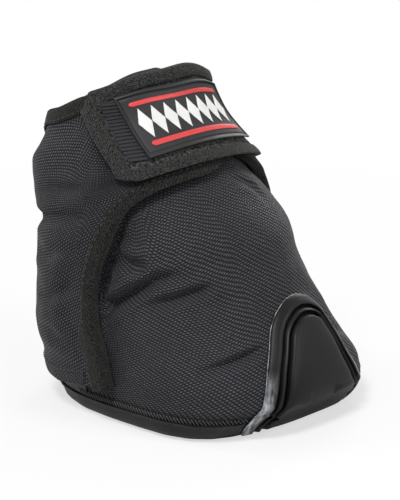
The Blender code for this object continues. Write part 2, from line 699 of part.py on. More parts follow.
def make_heel(fabric, foam, tape):
    """Back of the upper: shell, lining, hem tape and collar tape, fixed to the sole."""
    back = TAPE_THICKNESS + EDGE_GAP
    low, top = HEM_HEIGHT + back, lambda turn: collar_top(turn) - back
    rise = collar_top(FOLD_TOP_TURN) - HEM_HEIGHT
    start = lambda share: heel_start(HEM_HEIGHT + rise * share)
    end = lambda share: 360 - heel_start(HEM_HEIGHT + rise * share)
    turn, height = upright_grid(start, end, low, top, ROW_SHARES, 17)
    seams = np.concatenate([np.stack((turn[k], height[k]), axis=-1) for k in (0, -1)])
    relief = side_relief(turn, height, seams)
    panel("heel_shell", turn, height, WRAP_SHELL_IN, WRAP_SHELL_OUT + relief, fabric)
    panel("heel_lining", turn, height, WRAP_LINING_IN, WRAP_LINING_IN + WRAP_LINING, foam)
    foot = np.full_like(turn[:1], UPPER_BOTTOM)
    turn = np.concatenate((turn[:1], turn[:-1]))[:, 2:-2]
    height = np.concatenate((foot, height[:-1]))[:, 2:-2]
    out = HEEL_LINING_OUT - LAYER_GAP
    panel("heel_padding", turn, height, out - HEEL_LINING, out, foam)
    across = np.linspace(heel_start(COLLAR_FRONT_TOP), 360 - heel_start(COLLAR_FRONT_TOP), 17)
    path = np.stack((across, collar_top(across)), axis=-1)
    sweep("heel_collar_binding", tape_rings(path, -1, WING_TAPE_IN, WING_TAPE_OUT, TAPE_WIDTH), tape)
    across = np.linspace(heel_start(HEM_HEIGHT), 360 - heel_start(HEM_HEIGHT), 17)
    path = np.stack((across, np.full(len(across), HEM_HEIGHT)), axis=-1)
    sweep("heel_hem_binding", tape_rings(path, 1, WING_TAPE_IN, WING_TAPE_OUT, TAPE_WIDTH), tape)


def axis_empty(name, low, top):
    """An empty on a joint's axis, at the middle between two points of the axis."""
    item = bpy.data.objects.new(name, None)
    bpy.context.collection.objects.link(item)
    item.location = [(low[k] + top[k]) / 2 for k in range(3)]
    item.empty_display_size = SOLE_HALF_WIDTH / 4
    return item


def wing_outline(edge_shares, sign):
    """Edge of a wing from its foot round the tip and back along the collar to the fold."""
    edge = through([(t, s * BOOT_HEIGHT) for t, s in edge_shares], 23)
    tip_turn = edge[-1, 0]
    turn = np.linspace(tip_turn, sign * FOLD_TOP_TURN, 9)
    rise = np.linspace(0, 1, len(turn))
    blend = np.clip(rise / TIP_BLEND_SHARE, 0, 1)
    height = edge[-1, 1] * (1 - blend) + collar_top(turn) * blend
    collar = np.stack((turn, height), axis=-1)
    return edge, collar


def fold_axis(edge, collar, sign):
    """Low and top points of a wing's fold axis, which runs outside the fabric."""
    out = WRAP_SHELL_OUT + FOLD_AXIS_OUT
    low, top = edge[0, 1], collar[-1, 1]
    return skin(sign * fold_turn(low), np.array(low), out), skin(sign * fold_turn(top), np.array(top), out)


def make_wing(side, sign, edge_shares, fabric, foam, tape):
    """One wing of the upper: shell and lining clasped by one tape, folding about its rear line."""
    edge, collar = wing_outline(edge_shares, sign)
    pivot = axis_empty(f"{side}_wing_fold_axis", *fold_axis(edge, collar, sign))
    path = np.concatenate((edge, collar[1:]))
    tape_side = -sign
    inner = move_in(path, TAPE_THICKNESS + EDGE_GAP, tape_side)
    right = inner[:len(edge)]
    top = inner[len(edge) - 1:][::-1]
    top[0, 0] = sign * FOLD_TOP_TURN
    heights = np.linspace(right[0, 1], top[0, 1], len(right))
    left = np.stack((sign * fold_turn(heights), heights), axis=-1)
    left[-1] = top[0]
    low = line_between(left[0], right[0], len(top))
    turn, height = patch(left, right, low, top)
    relief = side_relief(turn, height, np.concatenate((path, low)))
    panel(f"{side}_wing_shell", turn, height, WRAP_SHELL_IN, WRAP_SHELL_OUT + relief, fabric, pivot)
    panel(f"{side}_wing_lining", turn, height, WRAP_LINING_IN, WRAP_LINING_IN + WRAP_LINING, foam, pivot)
    rings = tape_rings(path, tape_side, WING_TAPE_IN, WING_TAPE_OUT, TAPE_WIDTH)
    sweep(f"{side}_wing_binding", rings, tape, pivot)
    return pivot


def strap_grid(start, end, margin, rows, columns):
    """Places between the strap's edges, with a margin kept to each edge."""
    low = lambda turn: strap_low(turn) + margin
    top = lambda turn: collar_top(turn) + STRAP_TOP_RISE - margin
    return upright_grid(start, end, low, top, rows, columns)


def slanted(low_turn, margin=0.0):
    """Turns of an edge that slants as the strap's free end does, by the share of the way up."""
    full = COLLAR_FRONT_TOP - STRAP_FRONT_LOW
    lean = (STRAP_END_TOP_TURN - STRAP_END_LOW_TURN) * (full - 2 * margin) / full
    return lambda share: low_turn + lean * share


def strap_outline(root, columns):
    """Lower edge, rounded free end and top edge of the strap, from its root and back to it."""
    corner = turn_of(STRAP_CORNER * CORNER_RUN_SHARE)
    across = np.linspace(root, STRAP_END_LOW_TURN + corner, columns)
    low_edge = np.stack((across, strap_low(across)), axis=-1)
    across = np.linspace(STRAP_END_TOP_TURN + corner, root, columns)
    top_edge = np.stack((across, collar_top(across) + STRAP_TOP_RISE), axis=-1)
    end_low = strap_low(STRAP_END_LOW_TURN) + STRAP_CORNER
    end_top = collar_top(STRAP_END_TOP_TURN) + STRAP_TOP_RISE - STRAP_CORNER
    low_turn = STRAP_END_LOW_TURN - corner * CORNER_SIDE_SHARE
    top_turn = STRAP_END_TOP_TURN + corner * CORNER_TOP_SHARE
    back = corner * CORNER_TURN_SHARE
    drop = STRAP_CORNER * CORNER_RISE_SHARE
    end_edge = through((low_edge[-1], (low_turn + back, end_low - drop), (low_turn, end_low),
                        (top_turn, end_top), (top_turn + back, end_top + drop), top_edge[0]), 9)
    return low_edge, end_edge[1:-1], top_edge


def make_band(root, felt, tape, pivot):
    """The strap's felt band with the binding tape that clasps it on three sides."""
    columns = 16
    path = np.concatenate(strap_outline(root, columns))
    rings = tape_rings(path, -1, STRAP_TAPE_IN, STRAP_TAPE_OUT, STRAP_TAPE_WIDTH)
    sweep("strap_binding", rings, tape, pivot)
    inner = move_in(path, TAPE_THICKNESS + EDGE_GAP, -1)
    low_row = inner[:columns][::-1]
    top_row = inner[-columns:]
    left = np.concatenate((low_row[:1], inner[columns:-columns], top_row[:1]))
    right = line_between(low_row[-1], top_row[-1], len(left))
    turn, height = patch(left, right, low_row, top_row)
    panel("strap_band", turn, height, STRAP_BAND_IN, STRAP_BAND_OUT, felt, pivot)


def make_strap(felt, tape, webbing, rubber, hook, far_pivot):
    """The closing strap with its webbing, badge and hook patch, peeling about its far root."""
    hinge_out = STRAP_TAPE_OUT + STRAP_HINGE_OUT
    hinge = np.array(STRAP_HINGE_TURN)
    low_point = skin(hinge, strap_low(hinge), hinge_out)
    top_point = skin(hinge, collar_top(hinge), hinge_out)
    pivot = axis_empty("strap_peel_axis", low_point, top_point)
    root = STRAP_HINGE_TURN - turn_of(FOLD_GAP)
    make_band(root, felt, tape, pivot)
    turn, height = strap_grid(slanted(WEBBING_START_TURN, WEBBING_MARGIN), root, WEBBING_MARGIN, 7, 16)
    panel("strap_webbing", turn, height, WEBBING_IN, WEBBING_OUT, webbing, pivot)
    make_badge(rubber, pivot)
    turn, height = fastening_grid()
    panel("hook_patch", turn, height, HOOK_IN, HOOK_IN + HOOK_THICKNESS, hook, pivot)
    anchor_start = STRAP_HINGE_TURN + turn_of(2 * FOLD_GAP)
    margin = TAPE_THICKNESS + EDGE_GAP
    turn, height = strap_grid(anchor_start, STRAP_ANCHOR_TURN, margin, 5, 6)
    panel("strap_anchor", turn, height, STRAP_TAPE_IN, STRAP_BAND_OUT, felt, far_pivot)


def rimmed_shares(rim, size, count):
    """Shares across a plate with a rim of that width along both ends."""
    edge = rim / size
    inner = edge + BADGE_RIM_SLOPE / size
    return np.concatenate(((0, edge), np.linspace(inner, 1 - inner, count), (1 - edge, 1)))


def make_badge(look, pivot):
    """Soft rubber badge plate with a raised rim and a bare face."""
    tall = COLLAR_FRONT_TOP - STRAP_FRONT_LOW - 2 * BADGE_MARGIN
    wide = math.radians(BADGE_END_TURN - BADGE_START_TURN) * SOLE_HALF_WIDTH
    v = rimmed_shares(BADGE_RIM_WIDTH, tall, 4)
    u = rimmed_shares(BADGE_RIM_WIDTH, wide, 12)
    start = slanted(BADGE_START_TURN, BADGE_MARGIN)(v)[:, None]
    turn = start * (1 - u) + BADGE_END_TURN * u
    low = strap_low(turn) + BADGE_MARGIN
    top = collar_top(turn) - BADGE_MARGIN
    height = low * (1 - v[:, None]) + top * v[:, None]
    face = np.full(turn.shape, BADGE_FACE + BADGE_RIM)
    face[2:-2, 2:-2] = BADGE_FACE
    panel("badge_plate", turn, height, BADGE_IN, face, look, pivot)


def fastening_grid():
    """Places of the hook and loop field, which the strap's free end covers."""
    middle = lambda turn: (strap_low(turn) + collar_top(turn)) / 2
    low = lambda turn: middle(turn) - HOOK_HALF_HEIGHT
    top = lambda turn: middle(turn) + HOOK_HALF_HEIGHT
    margin = (COLLAR_FRONT_TOP - STRAP_FRONT_LOW) / 2 - HOOK_HALF_HEIGHT
    end_turn = STRAP_END_LOW_TURN
    clear = turn_step(STRAP_TAPE_WIDTH + HOOK_MARGIN, end_turn, collar_top(end_turn))
    start = slanted(end_turn + clear, margin)
    return upright_grid(start, HOOK_END_TURN, low, top, 5, 9)


def make_loop_patch(look, pivot):
    """Field of fastening loops on the near wing, where the strap's hooks grip."""
    turn, height = fastening_grid()
    panel("loop_patch", turn, height, LOOP_IN, LOOP_IN + LOOP_THICKNESS, look, pivot)


def clear_scene():
    """Start from an empty scene."""
    for item in list(bpy.data.objects):
        bpy.data.objects.remove(item, do_unlink=True)


def make_boot():
    """Make every piece of the boot."""
    clear_scene()
    sole_rubber = material("sole_rubber", (0.030, 0.030, 0.032), 0.55)
    guard_rubber = material("guard_rubber", (0.050, 0.051, 0.055), 0.42)
    badge_rubber = material("badge_rubber", (0.045, 0.048, 0.050), 0.45)
    fabric = material("upper_fabric", (0.060, 0.058, 0.068), 0.80)
    tape = material("binding_tape", (0.022, 0.021, 0.022), 0.90)
    felt = material("strap_felt", (0.032, 0.032, 0.032), 0.95)
    foam = material("lining_foam", (0.040, 0.040, 0.042), 0.85)
    webbing = material("webbing", (0.028, 0.027, 0.034), 0.75)
    hook = material("hook_tape", (0.025, 0.025, 0.026), 0.70)
    board = material("sole_board", (0.080, 0.075, 0.070), 0.80)
    make_outsole(sole_rubber)
    make_rand(sole_rubber)
    make_board(board)
    make_footbed(foam)
    make_vamp(fabric, foam, tape)
    make_guard(guard_rubber)
    make_heel(fabric, foam, tape)
    near_pivot = make_wing("near", -1, NEAR_EDGE_SHARES, fabric, foam, tape)
    make_loop_patch(felt, near_pivot)
    far_pivot = make_wing("far", 1, FAR_EDGE_SHARES, fabric, foam, tape)
    make_strap(felt, tape, webbing, badge_rubber, hook, far_pivot)


make_boot()
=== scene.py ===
"""A horse hoof boot in padded nylon and moulded rubber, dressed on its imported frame.

A place on the boot is given by its turn round the boot in degrees, 0 at the toe and negative on the near
side, by its height, and by how far out it lies. All lengths are in metres.
"""

import math

import bmesh
import bpy
import numpy as np
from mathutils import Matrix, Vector


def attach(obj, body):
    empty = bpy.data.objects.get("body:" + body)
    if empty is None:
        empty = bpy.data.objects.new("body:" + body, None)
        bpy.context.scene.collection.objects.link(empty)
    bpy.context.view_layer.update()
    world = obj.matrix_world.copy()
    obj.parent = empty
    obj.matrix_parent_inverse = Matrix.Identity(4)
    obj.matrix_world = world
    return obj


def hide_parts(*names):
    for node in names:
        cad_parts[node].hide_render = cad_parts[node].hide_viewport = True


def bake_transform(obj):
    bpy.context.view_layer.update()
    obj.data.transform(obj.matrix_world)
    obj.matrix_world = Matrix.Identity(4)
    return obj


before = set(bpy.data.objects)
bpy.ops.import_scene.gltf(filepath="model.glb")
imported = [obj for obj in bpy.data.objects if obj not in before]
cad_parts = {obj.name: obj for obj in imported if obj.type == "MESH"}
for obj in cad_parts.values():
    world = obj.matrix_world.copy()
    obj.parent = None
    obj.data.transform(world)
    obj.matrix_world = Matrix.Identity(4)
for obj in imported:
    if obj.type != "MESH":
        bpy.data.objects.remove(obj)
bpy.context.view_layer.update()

# ---------------------------------------------------------------------------------------------------
# Studio: a pale floor, soft lamps and a camera at the photograph's angle, in front of the boot's near
# side and a little above it. Nothing here belongs to the boot.
camera_turn, camera_rise, camera_reach = math.radians(-47.22), math.radians(19.26), 0.8139
camera_lens, film_width, aim_right, aim_up = 125.85, 36, -0.0045, 0.0659
pure_white, sky_light, lamp_aim = (1, 1, 1, 1), 0.30, Vector((0, 0, 0.07))
floor_half, floor_drop, floor_tone, near_white, far_white = 4, 0.0002, 0.86, (0.16, 0.62), (0.60, 1.0)


def placed(name, data):
    """Add an object to the scene."""
    thing = bpy.data.objects.new(name, data)
    bpy.context.collection.objects.link(thing)
    return thing


def put(tree, kind, feeds=None, **settings):
    """Add a node to a tree, set it up and feed its sockets from values or other sockets."""
    new = tree.nodes.new(kind)
    for key, value in settings.items():
        setattr(new, key, value)
    for socket, feed in (feeds or {}).items():
        if isinstance(feed, bpy.types.NodeSocket):
            tree.links.new(feed, new.inputs[socket])
        else:
            new.inputs[socket].default_value = feed
    return new


def compute(tree, operation, *values, **settings):
    """Add one step of arithmetic and give its result."""
    return put(tree, "ShaderNodeMath", dict(enumerate(values)), operation=operation, **settings).outputs[0]


def ramp(tree, value, low, high, start=0.0, end=1.0):
    """Turn one range of values into another and give the result."""
    return put(tree, "ShaderNodeMapRange", {0: value, 1: low, 2: high, 3: start, 4: end}).outputs[0]


def blended(tree, share, first, second, output):
    """End a tree in two shaders mixed by a share."""
    mixed = put(tree, "ShaderNodeMixShader", {0: share, 1: first.outputs[0], 2: second.outputs[0]})
    put(tree, output, {0: mixed.outputs[0]})


back = Vector((math.sin(camera_turn) * math.cos(camera_rise), -math.cos(camera_turn) * math.cos(camera_rise),
               math.sin(camera_rise)))
right = Vector((math.cos(camera_turn), math.sin(camera_turn), 0))
camera = placed("camera", bpy.data.cameras.new("camera"))
camera.data.lens, camera.data.sensor_width = camera_lens, film_width
camera.location = back * camera_reach
camera.rotation_mode = "QUATERNION"
aim = camera.location - right * aim_right - back.cross(right) * aim_up
camera.rotation_quaternion = aim.to_track_quat("Z", "Y")
bpy.context.scene.camera = camera
bpy.context.scene.view_settings.view_transform = "Standard"

world = bpy.data.worlds.new("studio")
bpy.context.scene.world = world
world.use_nodes = True
sky = world.node_tree
sky.nodes.clear()
soft = put(sky, "ShaderNodeBackground", {0: pure_white, 1: sky_light})
white = put(sky, "ShaderNodeBackground", {0: pure_white, 1: 1.0})
path = put(sky, "ShaderNodeLightPath").outputs
seen = compute(sky, "MAXIMUM", path["Is Camera Ray"], path["Is Glossy Ray"])
blended(sky, compute(sky, "MAXIMUM", seen, path["Is Transmission Ray"]), soft, white, "ShaderNodeOutputWorld")

floor_mesh = bpy.data.meshes.new("floor")
floor_corners = [(x * floor_half, y * floor_half, 0) for x, y in ((-1, -1), (1, -1), (1, 1), (-1, 1))]
floor_mesh.from_pydata(floor_corners, [], [(0, 1, 2, 3)])
floor = placed("floor", floor_mesh)
floor.location.z = -floor_drop
floor_look = bpy.data.materials.new("pale_floor")
floor_look.use_nodes = True
ground = floor_look.node_tree
ground.nodes.clear()
paint_coat = put(ground, "ShaderNodeBsdfDiffuse", {0: (floor_tone, floor_tone, floor_tone, 1)})
glow = put(ground, "ShaderNodeEmission", {0: pure_white, 1: 1.0})
away = put(ground, "ShaderNodeVectorMath", {0: put(ground, "ShaderNodeTexCoord").outputs["Object"]},
           operation="LENGTH").outputs["Value"]
whiter = ramp(ground, away, near_white[0], far_white[0], near_white[1], far_white[1])
share = compute(ground, "MULTIPLY", put(ground, "ShaderNodeLightPath").outputs["Is Camera Ray"], whiter)
blended(ground, share, paint_coat, glow, "ShaderNodeOutputMaterial")
floor_mesh.materials.append(floor_look)

for name, place, size, watts in (
        ("lamp_key", (-0.80, -0.25, 1.30), 0.45, 16.0),
        ("lamp_front", (0.35, -1.3, 0.85), 0.8, 7.0),
        ("lamp_far", (1.1, 0.5, 0.7), 0.6, 5.0),
        ("lamp_rear", (-0.5, 1.2, 0.9), 0.6, 4.0)):
    lamp = bpy.data.lights.new(name, "AREA")
    lamp.size, lamp.energy = size, watts
    holder = placed(name, lamp)
    holder.location = place
    holder.rotation_mode = "QUATERNION"
    holder.rotation_quaternion = (Vector(place) - lamp_aim).to_track_quat("Z", "Y")

# ---------------------------------------------------------------------------------------------------
# Rubber sole: a treaded outsole moulded in black rubber with a smooth rubber band glued round it.
# The band ends in a thin lip that catches the light along its top. The tread is the frame's own.
boot_form = np.array((
    # height, half width, toe, middle and heel, then roundness of the toe across and along, and of the heel
    (0.00000, 0.05730, -0.05180, 0.00000, 0.05998, 3.7, 3.80, 2.80),
    (0.00495, 0.05970, -0.05650, 0.00100, 0.06299, 3.5, 3.60, 2.80),
    (0.01200, 0.06000, -0.06200, 0.00200, 0.06499, 3.2, 3.20, 2.80),
    (0.01380, 0.05993, -0.06320, 0.00290, 0.06545, 3.1, 3.10, 2.80),
    (0.01480, 0.05987, -0.06360, 0.00350, 0.06570, 3.0, 3.00, 2.79),
    (0.01995, 0.05958, -0.06330, 0.00701, 0.06699, 2.8, 2.70, 2.75),
    (0.03000, 0.05898, -0.06080, 0.01201, 0.06799, 2.4, 2.20, 2.70),
    (0.04500, 0.05802, -0.05380, 0.01702, 0.06799, 2.1, 1.50, 2.65),
    (0.05700, 0.05658, -0.04691, 0.02102, 0.06799, 2.0, 1.30, 2.60),
    (0.06795, 0.05472, -0.03930, 0.02402, 0.06899, 2.0, 1.34, 2.60),
    (0.07995, 0.05202, -0.03302, 0.02603, 0.07053, 2.0, 1.48, 2.70),
    (0.09495, 0.04698, -0.01702, 0.03003, 0.07300, 2.0, 1.57, 3.00),
    (0.10800, 0.04002, -0.00218, 0.03403, 0.07600, 2.0, 1.98, 3.50),
    (0.13005, 0.03000, 0.01997, 0.03996, 0.07700, 2.0, 2.00, 3.30),
    (0.15000, 0.02700, 0.02899, 0.04397, 0.07500, 2.0, 2.00, 2.80),
))
# the far side is flatter from this height on, over this rise, by this much
flat_from, flat_rise, flat_depth = 0.085, 0.030, 0.0056
rand_wall, rand_foot, rand_top, rand_lip, rand_corner = 0.0028, 0.0008, 0.0083, 0.0011, 0.0045
turn_step, height_step, crease_angle = 0.2, 0.0003, math.radians(55)


def smooth_curve(x, y, at):
    """Read a smooth curve through points, with no overshoot between them."""
    x, y = np.asarray(x, float), np.asarray(y, float)
    step = np.diff(x)
    rise = np.diff(y) / step
    slope = np.concatenate((rise[:1], np.zeros(len(y) - 2), rise[-1:]))
    for i in range(1, len(y) - 1):
        if rise[i - 1] * rise[i] > 0:
            near, far = 2 * step[i] + step[i - 1], step[i] + 2 * step[i - 1]
            slope[i] = (near + far) / (near / rise[i - 1] + far / rise[i])
    k = np.clip(np.searchsorted(x, at) - 1, 0, len(x) - 2)
    t = (at - x[k]) / step[k]
    return (y[k] * (1 + 2 * t) * (1 - t) ** 2 + y[k + 1] * t * t * (3 - 2 * t)
            + slope[k] * step[k] * t * (1 - t) ** 2 - slope[k + 1] * step[k] * t * t * (1 - t))


form_heights = np.linspace(-0.004, 0.158, 649)
form_rows = [smooth_curve(boot_form[:, 0], boot_form[:, k], form_heights) for k in range(1, 8)]


def on_boot(turn, height, out=0.0):
    """Points on the boot's form at a turn and a height, moved out of it level."""
    turn, height = np.broadcast_arrays(np.asarray(turn, float), np.asarray(height, float))
    half, toe, middle, heel, toe_wide, toe_deep, heel_round = (
        np.interp(height, form_heights, row) for row in form_rows)
    sine, cosine = np.sin(np.radians(turn)), np.cos(np.radians(turn))
    drawn_in = np.clip((height - flat_from) / flat_rise, 0, 1) * np.clip(sine, 0, 1)
    half = half - flat_depth * drawn_in * drawn_in
    depth = np.where(cosine > 0, middle - toe, heel - middle)
    wide, deep = np.where(cosine > 0, toe_wide, heel_round), np.where(cosine > 0, toe_deep, heel_round)
    x = half * np.sign(sine) * np.abs(sine) ** (2 / wide)
    y = middle - depth * np.sign(cosine) * np.abs(cosine) ** (2 / deep)
    across = wide * np.sign(x) * (np.abs(x) / half) ** (wide - 1) / half
    along = deep * np.sign(y - middle) * (np.abs(y - middle) / depth) ** (deep - 1) / depth
    length = np.hypot(across, along)
    return np.stack((x + out * across / length, y + out * along / length, height + 0 * x), axis=-1)


def boot_axes(turn, height, out=0.0):
    """How the form runs at a place: by one degree of turn, by one metre of height, and outwards."""
    by_turn = (on_boot(turn + turn_step, height, out) - on_boot(turn - turn_step, height, out)) / (2 * turn_step)
    by_height = on_boot(turn, height + height_step, out) - on_boot(turn, height - height_step, out)
    by_height /= 2 * height_step
    outward = np.cross(by_turn, by_height)
    return by_turn, by_height, outward / np.linalg.norm(outward, axis=-1, keepdims=True)


def run_length(points, axis=0):
    """Length run so far along lines of points."""
    steps = np.linalg.norm(np.diff(points, axis=axis), axis=-1)
    return np.insert(np.cumsum(steps, axis=axis), 0, 0.0, axis=axis)


def even_turns(start, end, count, height=0.05):
    """Turns from start to end that lie evenly spaced along the form."""
    fine = np.linspace(start, end, 721)
    far = run_length(on_boot(fine, height))
    return np.interp(np.linspace(0, far[-1], count), far, fine)


def add_piece(name, points, faces, look, cloth=None):
    """Make one closed smooth piece; cloth gives each point its place on the flat fabric, in metres."""
    mesh = bpy.data.meshes.new(name)
    mesh.from_pydata(np.asarray(points, float).tolist(), [], faces)
    if cloth is not None:
        corner = np.zeros(len(mesh.loops), int)
        mesh.loops.foreach_get("vertex_index", corner)
        layer = mesh.uv_layers.new(name="Cloth")
        layer.data.foreach_set("uv", np.asarray(cloth, float)[corner].ravel())
    work = bmesh.new()
    work.from_mesh(mesh)
    bmesh.ops.recalc_face_normals(work, faces=work.faces)
    work.to_mesh(mesh)
    work.free()
    mesh.shade_smooth()
    mesh.set_sharp_from_angle(angle=crease_angle)
    mesh.materials.append(look)
    return placed(name, mesh)


def ring_faces(count, size, closed=False):
    """Faces between rings of points that lie one after the other."""
    faces = []
    for i in range(count if closed else count - 1):
        for j in range(size):
            k, below = (j + 1) % size, (i + 1) % count
            faces.append((i * size + j, i * size + k, below * size + k, below * size + j))
    return faces


def run_outline(name, rings, look, closed=False):
    """Carry a closed outline along a path: rings is path by outline by xyz."""
    count, size = rings.shape[:2]
    around = np.cumsum(np.linalg.norm(np.roll(rings, -1, axis=1) - rings, axis=2), axis=1)
    along = run_length(rings[:, 0])
    cloth = np.stack((np.repeat(along[:, None], size, 1), around), axis=-1).reshape(-1, 2)
    faces = ring_faces(count, size, closed)
    if not closed:
        faces += [tuple(range(size)), tuple(range((count - 1) * size, count * size))]
    return add_piece(name, rings.reshape(-1, 3), faces, look, cloth)


def finish_of(name, colour, roughness, specular=0.5, *constants):
    """Start a material and give it with its tree; constants are pairs of a socket and its value."""
    look = bpy.data.materials.new(name)
    look.use_nodes = True
    sockets = look.node_tree.nodes["Principled BSDF"].inputs
    usual = ("Base Color", (*colour, 1)), ("Roughness", roughness), ("Specular IOR Level", specular)
    for socket, value in (*usual, *constants):
        sockets[socket].default_value = value
    return look, look.node_tree


def on_object(tree):
    """The place on the boot, in metres."""
    return put(tree, "ShaderNodeTexCoord").outputs["Object"]


def on_cloth(tree):
    """The place on the flat fabric, in metres."""
    return put(tree, "ShaderNodeUVMap", uv_map="Cloth").outputs[0]


def noise(tree, place, scale, detail, roughness=0.5, give="Fac"):
    """Cloudy noise read at a place."""
    feeds = {"Vector": place, "Scale": scale, "Detail": detail, "Roughness": roughness}
    return put(tree, "ShaderNodeTexNoise", feeds).outputs[give]


def feed_shader(look, socket, value):
    """Drive a socket of a material's shader."""
    look.node_tree.links.new(value, look.node_tree.nodes["Principled BSDF"].inputs[socket])


def paint(look, amount, dark, light):
    """Colour a material between a dark and a light tone, by an amount."""
    ends = [tone if isinstance(tone, bpy.types.NodeSocket) else (*tone, 1) for tone in (dark, light)]
    mix = put(look.node_tree, "ShaderNodeMix", {0: amount, 6: ends[0], 7: ends[1]}, data_type="RGBA")
    feed_shader(look, "Base Color", mix.outputs[2])


def emboss(look, height, strength, depth):
    """Give a material fine relief."""
    bump = put(look.node_tree, "ShaderNodeBump", {"Strength": strength, "Distance": depth, "Height": height})
    feed_shader(look, "Normal", bump.outputs[0])


def moulded_rubber(name, dark, worn, roughness, grain=900.0, specular=0.5):
    """Black rubber with a fine mould grain, cloudy wear and a few dull patches."""
    look, tree = finish_of(name, dark, roughness, specular)
    cloud = noise(tree, on_object(tree), 55.0, 6.0, 0.65)
    paint(look, ramp(tree, cloud, 0.40, 0.78), dark, worn)
    feed_shader(look, "Roughness", ramp(tree, cloud, 0.3, 0.8, roughness - 0.06, roughness + 0.14))
    emboss(look, noise(tree, on_object(tree), grain, 3.0), 0.22, 0.0002)
    return look


sole_rubber = moulded_rubber("black_sole_rubber", (0.006, 0.006, 0.0065), (0.022, 0.022, 0.023), 0.46,
                             specular=0.25)
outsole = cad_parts["outsole"]
outsole.data.materials.clear()
outsole.data.materials.append(sole_rubber)

turns = even_turns(-180, 180, 241)[:-1]
guard_cover = np.clip((np.abs(turns - 5) - 30) / 6, 0, 1)
wave = 0.00012 * np.sin(np.radians(turns) * 23) * guard_cover
lip = rand_lip * guard_cover
rand_profile = (
    (rand_foot, -rand_wall), (rand_foot, -0.0009), (rand_foot + 0.0002, -0.0003), (rand_foot + 0.0008, 0.0),
    (0.0030, 0.0002), (0.0052, 0.0001), (0.0066, 0.0), (0.0070, 0.35), (0.0073, 0.85), (0.0077, 1.0),
    (0.0081, 0.9), (rand_top, 0.45), (rand_top, -0.0006), (rand_top, -rand_wall), (0.0045, -rand_wall))
toe_corner = rand_corner * np.abs(np.sin(2 * np.radians(turns))) ** 1.5 * (np.abs(turns) < 90)
rings = []
for height, out in rand_profile:
    # a value over 0.1 is a share of the lip, any other is a distance
    reach = (out * lip if out > 0.1 else out) - toe_corner * (out == -rand_wall)
    rings.append(on_boot(turns, height, reach + wave))
rand = run_outline("sole_band", np.stack(rings, axis=1), sole_rubber, closed=True)
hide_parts("sole_rand")
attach(rand, "boot")

# ---------------------------------------------------------------------------------------------------
# Toe guard: moulded in satin black rubber with a flat flange, two raised ribs that follow its arch and
# a plain panel, glued over the toe and rolled under it. A bead of grey glue shows along its edge.
guard_foot, guard_top, guard_seat = 0.0012, 0.0560, 0.0009
guard_bend, guard_thinning, bead_seat, bead_radius = 0.0158, 0.45, 0.0008, 0.00026
guard_outline = np.array((
    # turn and height along the guard's edge, from its near foot over the arch to its far foot
    (-23.5, 0.0012), (-25.3, 0.0070), (-24.2, 0.0120), (-22.7, 0.0170), (-21.9, 0.0225), (-21.0, 0.0290),
    (-18.2, 0.0375), (-14.5, 0.0460), (-9.0, 0.0520), (-3.0, 0.0553), (2.0, 0.0560), (7.5, 0.0550),
    (12.5, 0.0525), (16.8, 0.0483), (18.8, 0.0428), (20.0, 0.0370), (21.0, 0.0290), (22.4, 0.0222),
    (24.6, 0.0150), (26.6, 0.0085), (27.4, 0.0012)))
guard_profile = np.array((
    # distance in from the edge, height of the rubber
    (0.0, 0.0004), (0.0003, 0.0010), (0.0009, 0.0015), (0.0024, 0.0021), (0.0036, 0.0026), (0.0041, 0.0024),
    (0.0044, 0.0012), (0.0047, 0.0003), (0.0058, 0.0003), (0.0061, 0.0014), (0.0064, 0.0026), (0.0069, 0.0030),
    (0.0074, 0.0026), (0.0077, 0.0014), (0.0080, 0.0003), (0.0091, 0.0003), (0.0094, 0.0018), (0.0097, 0.0032),
    (0.0101, 0.0036), (0.0108, 0.0037), (0.0120, 0.0038)))


def through(points, count):
    """Evenly read points on a smooth curve through the given pairs."""
    points = np.asarray(points, float)
    place, at = np.linspace(0, 1, len(points)), np.linspace(0, 1, count)
    return np.stack([smooth_curve(place, points[:, k], at) for k in range(2)], axis=-1)


def move_over(path, distance, side):
    """Move a (turn, height) path sideways over the form by a real distance."""
    turn, height = path[:, 0], path[:, 1]
    by_turn, by_height, outward = boot_axes(turn, height)
    aim = np.cross(outward, np.gradient(on_boot(turn, height), axis=0)) * side
    aim /= np.linalg.norm(aim, axis=1)[:, None]
    tt, hh, th = ((a * b).sum(1) for a, b in ((by_turn, by_turn), (by_height, by_height), (by_turn, by_height)))
    at, ah = (by_turn * aim).sum(1), (by_height * aim).sum(1)
    det = tt * hh - th * th
    step = np.stack(((at * hh - ah * th) / det, (ah * tt - at * th) / det), axis=-1)
    return path + distance * step


guard_rubber = moulded_rubber("satin_guard_rubber", (0.0045, 0.0045, 0.0050), (0.0090, 0.0090, 0.0095), 0.40,
                              700.0, specular=0.17)
guard_edge = through(guard_outline, 141)
panel_shares, panel_reach, edge_run = (0.90, 0.78, 0.66, 0.54, 0.42, 0.30, 0.20, 0.12, 0.05), 0.02, 0.15
foot = (0, guard_foot)
rings = []
for reach, _ in guard_profile:
    moved = move_over(guard_edge, reach, -1)
    moved[:, 1] = np.maximum(moved[:, 1], guard_foot)
    rings.append(moved)
rings = np.stack(rings + [foot + (moved - foot) * share for share in panel_shares])
outs = np.append(guard_profile[:, 1], [guard_profile[-1, 1]] * len(panel_shares))[:, None]
outs = outs * (1 - guard_thinning * np.clip((guard_bend - rings[..., 1]) / guard_bend, 0, 1))
top = on_boot(rings[..., 0], rings[..., 1], guard_seat + outs)
under = on_boot(rings[..., 0], rings[..., 1], guard_seat)
centre = on_boot(np.zeros(2), guard_foot, guard_seat + np.array((outs[-1, 0], 0.0)))
count, layer = rings.shape[1], rings.shape[0] * rings.shape[1] + 1
points = np.concatenate((top.reshape(-1, 3), centre[:1], under.reshape(-1, 3), centre[1:]))
faces = []
